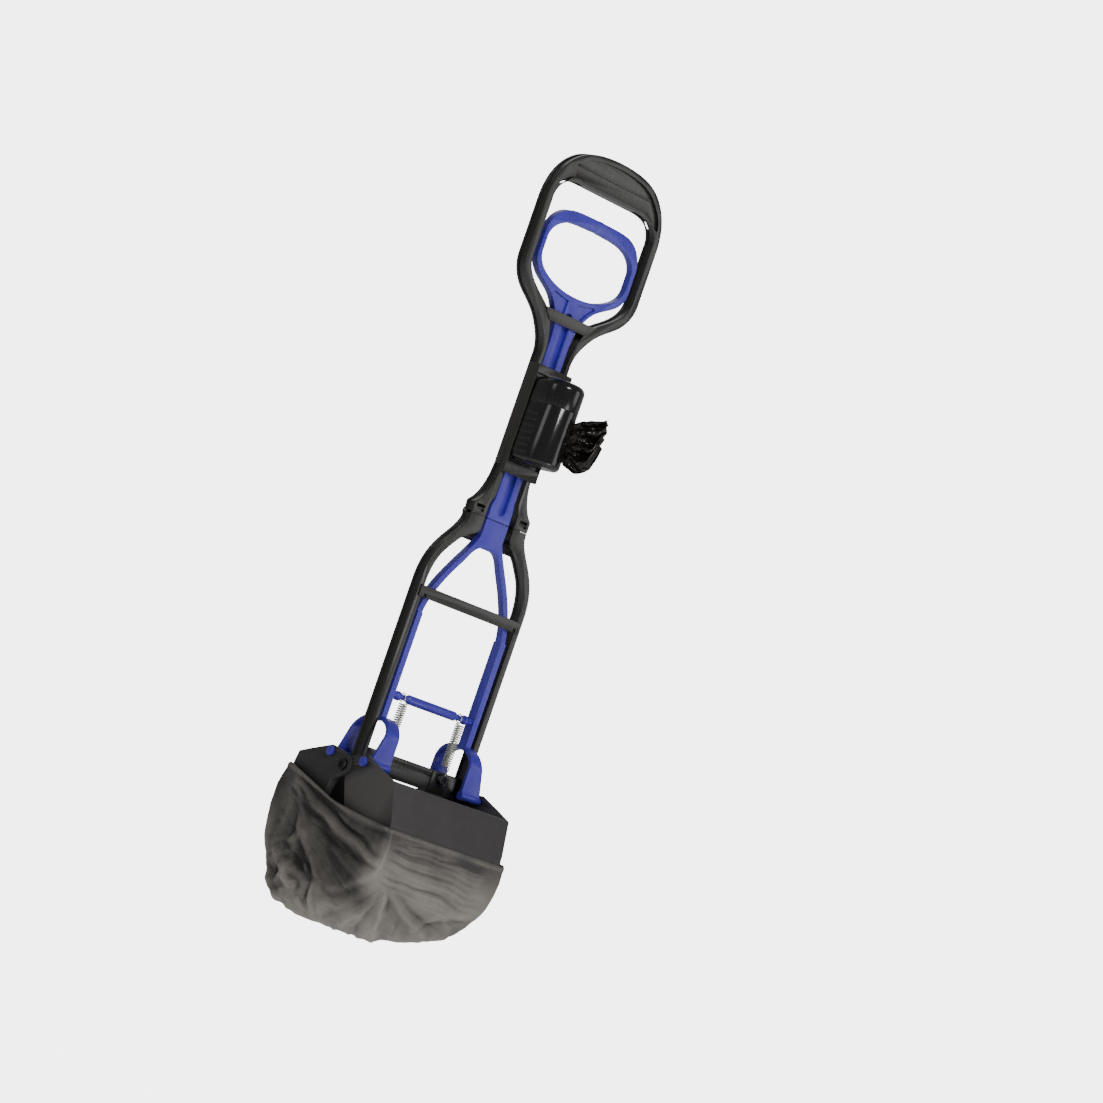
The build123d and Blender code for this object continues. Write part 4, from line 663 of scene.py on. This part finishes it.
def bagBase():
    # Rings of points from the rim down to the lowest point. Seen from above each ring is a superellipse,
    # |x / width| ** power + |y / depth| ** power = 1, whose size and power follow the profiles downwards
    rows, columns = bag["rows"], bag["columns"]
    level = np.linspace(0, 1, rows)
    stops = np.linspace(0, 1, len(bag["profileY"]))
    depth = np.interp(level, stops, column(bag["profileY"], 0))[:, None]
    width = np.interp(level, stops, column(bag["profileX"], 0))[:, None]
    height = np.interp(level, stops, column(bag["profileY"], 1))[:, None]
    power = np.interp(level, stops, bag["square"])[:, None]
    turn = np.linspace(0, 2 * np.pi, columns, endpoint=False)
    across = np.cos(turn)
    along = np.sin(turn)
    largest = np.maximum(np.abs(across), np.abs(along))
    across = (across / largest)[None, :]
    along = (along / largest)[None, :]
    scale = (np.abs(across) ** power + np.abs(along) ** power) ** (-1 / power)
    grid = np.stack([across * scale * width, along * scale * depth, height + 0 * scale], axis=-1)
    rim = rimHeight(grid[0, :, 0], grid[0, :, 1])
    fade = (1 - smoothStep(0.0, bag["rimFade"], level))[:, None]
    grid[:, :, 2] += fade * (rim - grid[0, :, 2])[None, :]
    # Above its widest line the bag leans in with the jaws
    lean = bag["lean"]
    tip = np.interp(grid[:, :, 2], lean["heights"], [0, lean["reach"]])
    grid[:, :, 1] -= np.sign(grid[:, :, 1]) * tip * smoothStep(*lean["faces"], np.abs(grid[:, :, 1]))
    # Between the jaws the ends hang a little outwards, as a parabola along y
    slack = bag["slack"]
    loose = slack["depth"] * (1 - np.clip(grid[:, :, 1] / slack["reach"], -1, 1) ** 2)
    loose = loose * smoothStep(*slack["ends"], np.abs(grid[:, :, 0]))
    grid[:, :, 0] += np.sign(grid[:, :, 0]) * loose
    # One corner sags: a push that falls off with distance as a bell curve
    bulge = bag["bulge"]
    away = np.linalg.norm(grid - np.array(bulge["centre"]), axis=2)
    share = np.exp(-((away / bulge["radius"]) ** 2))
    return grid + share[:, :, None] * np.array(bulge["push"])


def rimHeight(x, y):
    # The rim's line along each side, joined smoothly at the corners to the front's and the rear's
    side = np.interp(y, column(bag["rimSide"], 0), column(bag["rimSide"], 1))
    front = np.interp(x, column(bag["rimFront"], 0), column(bag["rimFront"], 1))
    share = smoothStep(*bag["rimCorners"]["front"], y)
    height = front * (1 - share) + side * share
    backward = smoothStep(*bag["rimCorners"]["rear"], y)
    return height * (1 - backward) + bag["rimRear"] * backward


def outwardNormals(grid):
    # The cross product of the steps along and down the rings, turned away from the bag's middle
    around = np.roll(grid, -1, axis=1) - np.roll(grid, 1, axis=1)
    down = np.gradient(grid, axis=0)
    normals = np.cross(around, down)
    normals /= np.maximum(np.linalg.norm(normals, axis=2, keepdims=True), 1e-9)
    outward = np.sum(normals * (grid - np.array(bag["middle"])), axis=2, keepdims=True)
    return normals * np.where(outward < 0, -1, 1)


def lineField(across, up, points, width, height):
    # Height of one fold: a soft ridge that falls off with the distance to a line and sinks at both ends
    lengths = np.linalg.norm(np.diff(points, axis=0), axis=1)
    total = lengths.sum()
    nearest = np.full(across.shape, np.inf)
    place = np.zeros(across.shape)
    walked = 0.0
    for start, end, length in zip(points[:-1], points[1:], lengths):
        run = (end - start) / length
        share = np.clip((across - start[0]) * run[0] + (up - start[1]) * run[1], 0, length)
        away = np.hypot(across - start[0] - run[0] * share, up - start[1] - run[1] * share)
        closer = away < nearest
        nearest = np.where(closer, away, nearest)
        place = np.where(closer, (walked + share) / total, place)
        walked += length
    shape = bag["foldShape"]
    taper = shape["ends"] + (1 - shape["ends"]) * np.sqrt(np.sin(np.pi * np.clip(place, *shape["tips"])))
    return height * taper * np.exp(-((nearest / width) ** shape["power"]))


def fanField(across, up, fan, seed):
    # Many fine folds that run away from one point: noise that is quick across the rays and slow along them
    shape = bag["fanShape"]
    centre = fan["centre"]
    reach = np.hypot(across - centre[0], up - centre[1])
    slope = (up - centre[1]) / np.maximum(across - centre[0], 1.0)
    height = slope * fan["start"] + centre[1]
    rays = np.stack([height / fan["spacing"], reach * shape["stretch"], 0 * reach], axis=-1)
    waves = noiseField(rays, 1.0, seed, 1)
    sharp = shape["base"] - np.minimum(softRidge(waves) * shape["sharpness"], shape["deepest"])
    before, after = shape["startFade"]
    inside = smoothStep(fan["start"] - before, fan["start"] + after, reach)
    inside = inside * (1 - smoothStep(fan["end"], fan["end"] + shape["endFade"], reach))
    before, after = shape["topFade"]
    inside = inside * (1 - smoothStep(fan["top"] - before, fan["top"] + after, height))
    before, after = shape["bottomFade"]
    inside = inside * smoothStep(fan["bottom"] - before, fan["bottom"] + after, height)
    return fan["height"] * sharp * inside


def softRidge(values):
    # The size of a value, rounded off near zero: the root of its square plus a little
    return np.sqrt(values * values + bag["crease"]["roundness"])


def creased(points, scale, seed):
    # Creases: a base less the size of the noise, so that they are sharpest where the noise crosses zero
    crease = bag["crease"]
    return crease["base"] - crease["sharpness"] * softRidge(noiseField(points, scale, seed, 2))


def foldHeights(across, up, seed):
    # The sum of all folds, fans and crumples at points seen square to one side of the bag
    flat = np.stack([across, up, 0 * up], axis=-1)
    wobble = bag["wobble"]
    sideways = noiseField(flat, wobble["scale"], seed, 1)
    upwards = noiseField(flat[:, :, ::-1], wobble["scale"], seed, 1)
    bentAcross = across + sideways * wobble["bend"]
    bentUp = up + upwards * wobble["bend"]
    total = np.zeros(across.shape)
    scale = bag["foldShape"]["scale"]
    for points, width, height in folds.values():
        total += lineField(bentAcross, bentUp, fromCrop(points), width, height * scale)
    sideFan, hemFan = bag["fans"]["side"], bag["fans"]["hem"]
    total += fanField(bentAcross, bentUp, sideFan, seed)
    total += fanField(bentAcross, bentUp, hemFan, seed) * (1 - smoothStep(*hemFan["sideEnd"], across))
    mound = bag["mound"]
    away = np.hypot(across - mound["centre"][0], up - mound["centre"][1])
    swell = np.exp(-((away / mound["radius"]) ** mound["power"]))
    total += swell * mound["height"] * creased(flat, mound["scale"], seed)
    foot = bag["foot"]
    low = 1 - smoothStep(*foot["heights"], up)
    total += low * foot["height"] * creased(flat * np.array(foot["stretch"]), foot["scale"], seed)
    total += sideways * wobble["height"]
    flatSide = bag["flatSide"]
    total *= 1 - smoothStep(*flatSide["across"], across) * smoothStep(*flatSide["heights"], up)
    line = bag["seam"]
    seam = lineField(across, up, fromCrop(line["points"]), line["width"], line["height"])
    return total + seam, swell, seam


def awayFromJaws(grid):
    # The film lies on the jaws and never in them, also where they close over the gap between them. A point
    # inside the jaws' outline at its height moves out of it the shorter way
    height = grid[:, :, 2]
    depth = np.interp(height, column(bag["jawY"], 0), column(bag["jawY"], 1)) + bag["clearance"]
    width = np.interp(height, column(bag["jawX"], 0), column(bag["jawX"], 1)) + bag["clearance"]
    x, y = grid[:, :, 0], grid[:, :, 1]
    shortX = width - np.abs(x)
    shortY = depth - np.abs(y)
    inside = (shortX > 0) & (shortY > 0) & (height > bag["lipReach"])
    sideways = inside & (shortX < shortY)
    grid[:, :, 0] += np.where(sideways, np.sign(x) * shortX, 0)
    grid[:, :, 1] += np.where(inside & ~sideways, np.sign(y) * shortY, 0)
    return grid


def levelSharedEdge(grid):
    # The edge that both halves share lies on y = 0, where neither jaw pulls at it, so the halves stay joined
    columns = bag["columns"]
    around = np.arange(columns)
    for edge in (0, columns // 2):
        apart = np.abs(around - edge)
        apart = np.minimum(apart, columns - apart)
        near = 1 - smoothStep(0, bag["edgeFade"] * columns, apart)
        grid[:, :, 1] -= grid[:, edge:edge + 1, 1] * near[None, :]
    return grid


def smoothed(values):
    # Each value with half its weight, and a quarter from each neighbour, around and then down the rings
    values = (values * 2 + np.roll(values, 1, axis=1) + np.roll(values, -1, axis=1)) / 4
    values[1:-1] = (values[1:-1] * 2 + values[:-2] + values[2:]) / 4
    return values


def bagPoints():
    # The plain shell, pushed along its normals by its folds as they are seen from the near and the far side
    grid = bagBase()
    normals = outwardNormals(grid)
    yaw = math.radians(camera["yaw"])
    across = grid[:, :, 0] * math.cos(yaw) - grid[:, :, 1] * math.sin(yaw)
    inward = grid[:, :, 0] * math.sin(yaw) + grid[:, :, 1] * math.cos(yaw)
    up = grid[:, :, 2]
    near, nearSwell, nearSeam = foldHeights(across, up, bag["nearSeed"])
    far, farSwell, farSeam = foldHeights(-across, up, bag["farSeed"])
    share = smoothStep(*bag["sides"], inward)
    height = smoothed(np.clip(near * (1 - share) + far * share, bag["deepest"], bag["highest"]))
    swell = nearSwell * (1 - share) + farSwell * share
    seam = nearSeam * (1 - share) + farSeam * share
    # The rim is folded over into a round hem
    hem = bag["hem"]
    sunk = (rimHeight(grid[:, :, 0], grid[:, :, 1]) - up) / hem["depth"]
    roll = np.exp(-((sunk - hem["middle"]) ** 2) * hem["sharpness"])
    height = height * smoothStep(0.0, hem["start"], sunk) + hem["height"] * roll
    # Painted shade and light: the fold height, scaled and clipped to -1 to 1, darkens the film's colour in
    # the grooves and lightens it on the ridges
    foldShading = np.clip(height / bag["foldShadingHeight"], -1, 1)
    grid = levelSharedEdge(awayFromJaws(grid + normals * height[:, :, None]))
    return grid, {"backing": jawsBehind(grid), "lump": swell, "seam": seam, "foldShading": foldShading, "hem": roll}


def jawsBehind(grid):
    # Share of jaw behind each point: it fades out below the jaws' faces and, further down, below their ends
    backing = bag["backing"]
    height = grid[:, :, 2]
    facing = smoothStep(*backing["faces"], np.abs(grid[:, :, 1]))
    ends = (1 - facing) * backing["endShare"] * smoothStep(*backing["endHeights"], height)
    return facing * smoothStep(*backing["faceHeights"], height) + ends


def addBag(material):
    # The shell is cut into two sheets that share their edge and its normals
    grid, looks = bagPoints()
    # The grid's faces look inward, so their shared normals do too
    normals = -outwardNormals(grid)
    points = grid * mm
    points[:, :, 2] += pivotHeight
    half = bag["columns"] // 2
    for name, first, jaw, side in (
        ("bag_rear_film", 0, "rear_jaw", 1),
        ("bag_front_film", half, "front_jaw", -1),
    ):
        picked = np.arange(first, first + half + 1) % bag["columns"]
        film = gridObject(name, points[:, picked])
        for look, values in looks.items():
            storeAttribute(film, look, values[:, picked])
        film.data.normals_split_custom_set_from_vertices(normals[:, picked].reshape(-1, 3).tolist())
        film.data.materials.append(material)
        thick = film.modifiers.new("thick", "SOLIDIFY")
        thick.thickness = bag["thickness"] * mm
        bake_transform(film)
    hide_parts("bag_rear", "bag_middle")
    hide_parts("bag_front", "bag_middle")


# Crumpled end of a bag that sticks out of the dispenser's slot, in mm and degrees, with heights above the
# jaws' axle

tail = {
    "centre": (0.0, -31.0),
    "turn": 35.0,
    "start": 15.8,
    "reach": 33.0,
    "upper": [(0, 352), (8, 357), (20, 361), (33, 366)],
    "lower": [(0, 322), (6, 315), (18, 311), (27, 318), (33, 340)],
    "rows": 90,
    "columns": 80,
    "spread": 20,
    "pleats": {"count": 7.5, "depth": 4.6, "power": 0.7, "least": 0.35, "bend": 0.10},
    "noiseScale": (0.05, 2.4),
    "bend": {"seed": (4.2, 0.7, 9.1), "height": 4.0},
    "crumple": {"seed": (1.2, 5.7, 3.1), "stretch": (2.6, 2.6, 1.0), "height": 3.0, "lift": 2.0},
    "rough": {"seed": (8.8, 2.3, 0.4), "stretch": (1.5, 3.0, 1.0), "height": 2.5},
    "thickness": 0.2,
}


def addTail(material):
    # A sheet from the slot outwards. Sideways it is a rounded sine wave of pleats that widens with the way
    # out, bent and crumpled by noise
    angle = math.radians(tail["turn"] - 90)
    outward = np.array([math.cos(angle), math.sin(angle), 0])
    sideways = np.array([-math.sin(angle), math.cos(angle), 0])
    rows, columns = tail["rows"], tail["columns"]
    out = np.linspace(0, tail["reach"], columns)[None, :]
    share = np.linspace(0, 1, rows)[:, None]
    upper = np.interp(out, column(tail["upper"], 0), column(tail["upper"], 1))
    lower = np.interp(out, column(tail["lower"], 0), column(tail["lower"], 1))
    height = lower + (upper - lower) * share
    spread = smoothStep(0, tail["spread"], out)
    outScale, shareScale = tail["noiseScale"]
    place = np.stack([out * outScale + 0 * share, share * shareScale + 0 * out, 0 * out * share], axis=-1)
    bend, folded, rough = tail["bend"], tail["crumple"], tail["rough"]
    bent = noiseField(place, 1.0, bend["seed"], 1)
    crumpled = noiseField(place * np.array(folded["stretch"]), 1.0, folded["seed"], 3)
    uneven = noiseField(place * np.array(rough["stretch"]), 1.0, rough["seed"], 2)
    pleats = tail["pleats"]
    wave = np.sin((share + bent * pleats["bend"]) * pleats["count"] * math.pi)
    strength = pleats["least"] + (1 - pleats["least"]) * (1 - np.abs(share - 0.5))
    pleat = np.sign(wave) * np.abs(wave) ** pleats["power"] * pleats["depth"] * strength
    side = (pleat + bent * bend["height"] + crumpled * folded["height"]) * spread
    grid = outward * (tail["start"] + out + uneven * rough["height"] * spread)[:, :, None]
    grid = grid + sideways * side[:, :, None]
    grid[:, :, 2] = height + crumpled * folded["lift"] * spread
    grid[:, :, 0] += tail["centre"][0]
    grid[:, :, 1] += tail["centre"][1]
    points = grid * mm
    points[:, :, 2] += pivotHeight
    film = gridObject("bag_tail_film", points)
    film.data.materials.append(material)
    thick = film.modifiers.new("thick", "SOLIDIFY")
    thick.thickness = tail["thickness"] * mm
    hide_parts("bag_tail")
    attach(film, "upper_frame")


backdrop = {
    "floor": -1.05,
    "nearEnd": -8.0,
    "bendStart": 2.5,
    "bendRadius": 2.0,
    "bendPoints": 25,
    "top": 7.0,
    "halfWidth": 9.0,
    "color": (0.92, 0.92, 0.92),
}


def addBackdrop():
    # Pale sweep well below the object: a flat floor, a quarter circle and an upright wall
    angle = np.linspace(0, math.pi / 2, backdrop["bendPoints"])
    bendAway = backdrop["bendStart"] + backdrop["bendRadius"] * np.sin(angle)
    bendUp = backdrop["floor"] + backdrop["bendRadius"] * (1 - np.cos(angle))
    away = np.concatenate([[backdrop["nearEnd"]], bendAway, [bendAway[-1]]])
    up = np.concatenate([[backdrop["floor"]], bendUp, [backdrop["top"]]])
    side = np.array([-1, 1]) * backdrop["halfWidth"]
    yaw = math.radians(camera["yaw"])
    grid = np.zeros((len(away), 2, 3))
    grid[:, :, 0] = away[:, None] * math.sin(yaw) + side[None, :] * math.cos(yaw)
    grid[:, :, 1] = away[:, None] * math.cos(yaw) - side[None, :] * math.sin(yaw)
    grid[:, :, 2] = up[:, None]
    sweep = gridObject("backdrop", grid)
    material, tree = newMaterial("backdrop")
    shader = addNode(tree, "ShaderNodeBsdfDiffuse")
    shader.inputs["Color"].default_value = (*backdrop["color"], 1)
    shine = addNode(tree, "ShaderNodeEmission")
    link(tree, seenStrength(tree, glow["backdropCast"]), shine.inputs["Strength"])
    both = addNode(tree, "ShaderNodeAddShader")
    link(tree, shader.outputs["BSDF"], both.inputs[0])
    link(tree, shine.outputs["Emission"], both.inputs[1])
    end = addNode(tree, "ShaderNodeOutputMaterial")
    link(tree, both.outputs["Shader"], end.inputs["Surface"])
    sweep.data.materials.append(material)


addCamera()
addLights()
addWorld()
addBackdrop()
report("camera and light")
finishNodes()
report("moulded pieces")
addSprings()
report("springs")
addBag(filmMaterial("bag_film", films["bag_film"]))
report("bag")
addTail(filmMaterial("tail_film", films["tail_film"]))
report("bag tail")

bpy.context.view_layer.update()
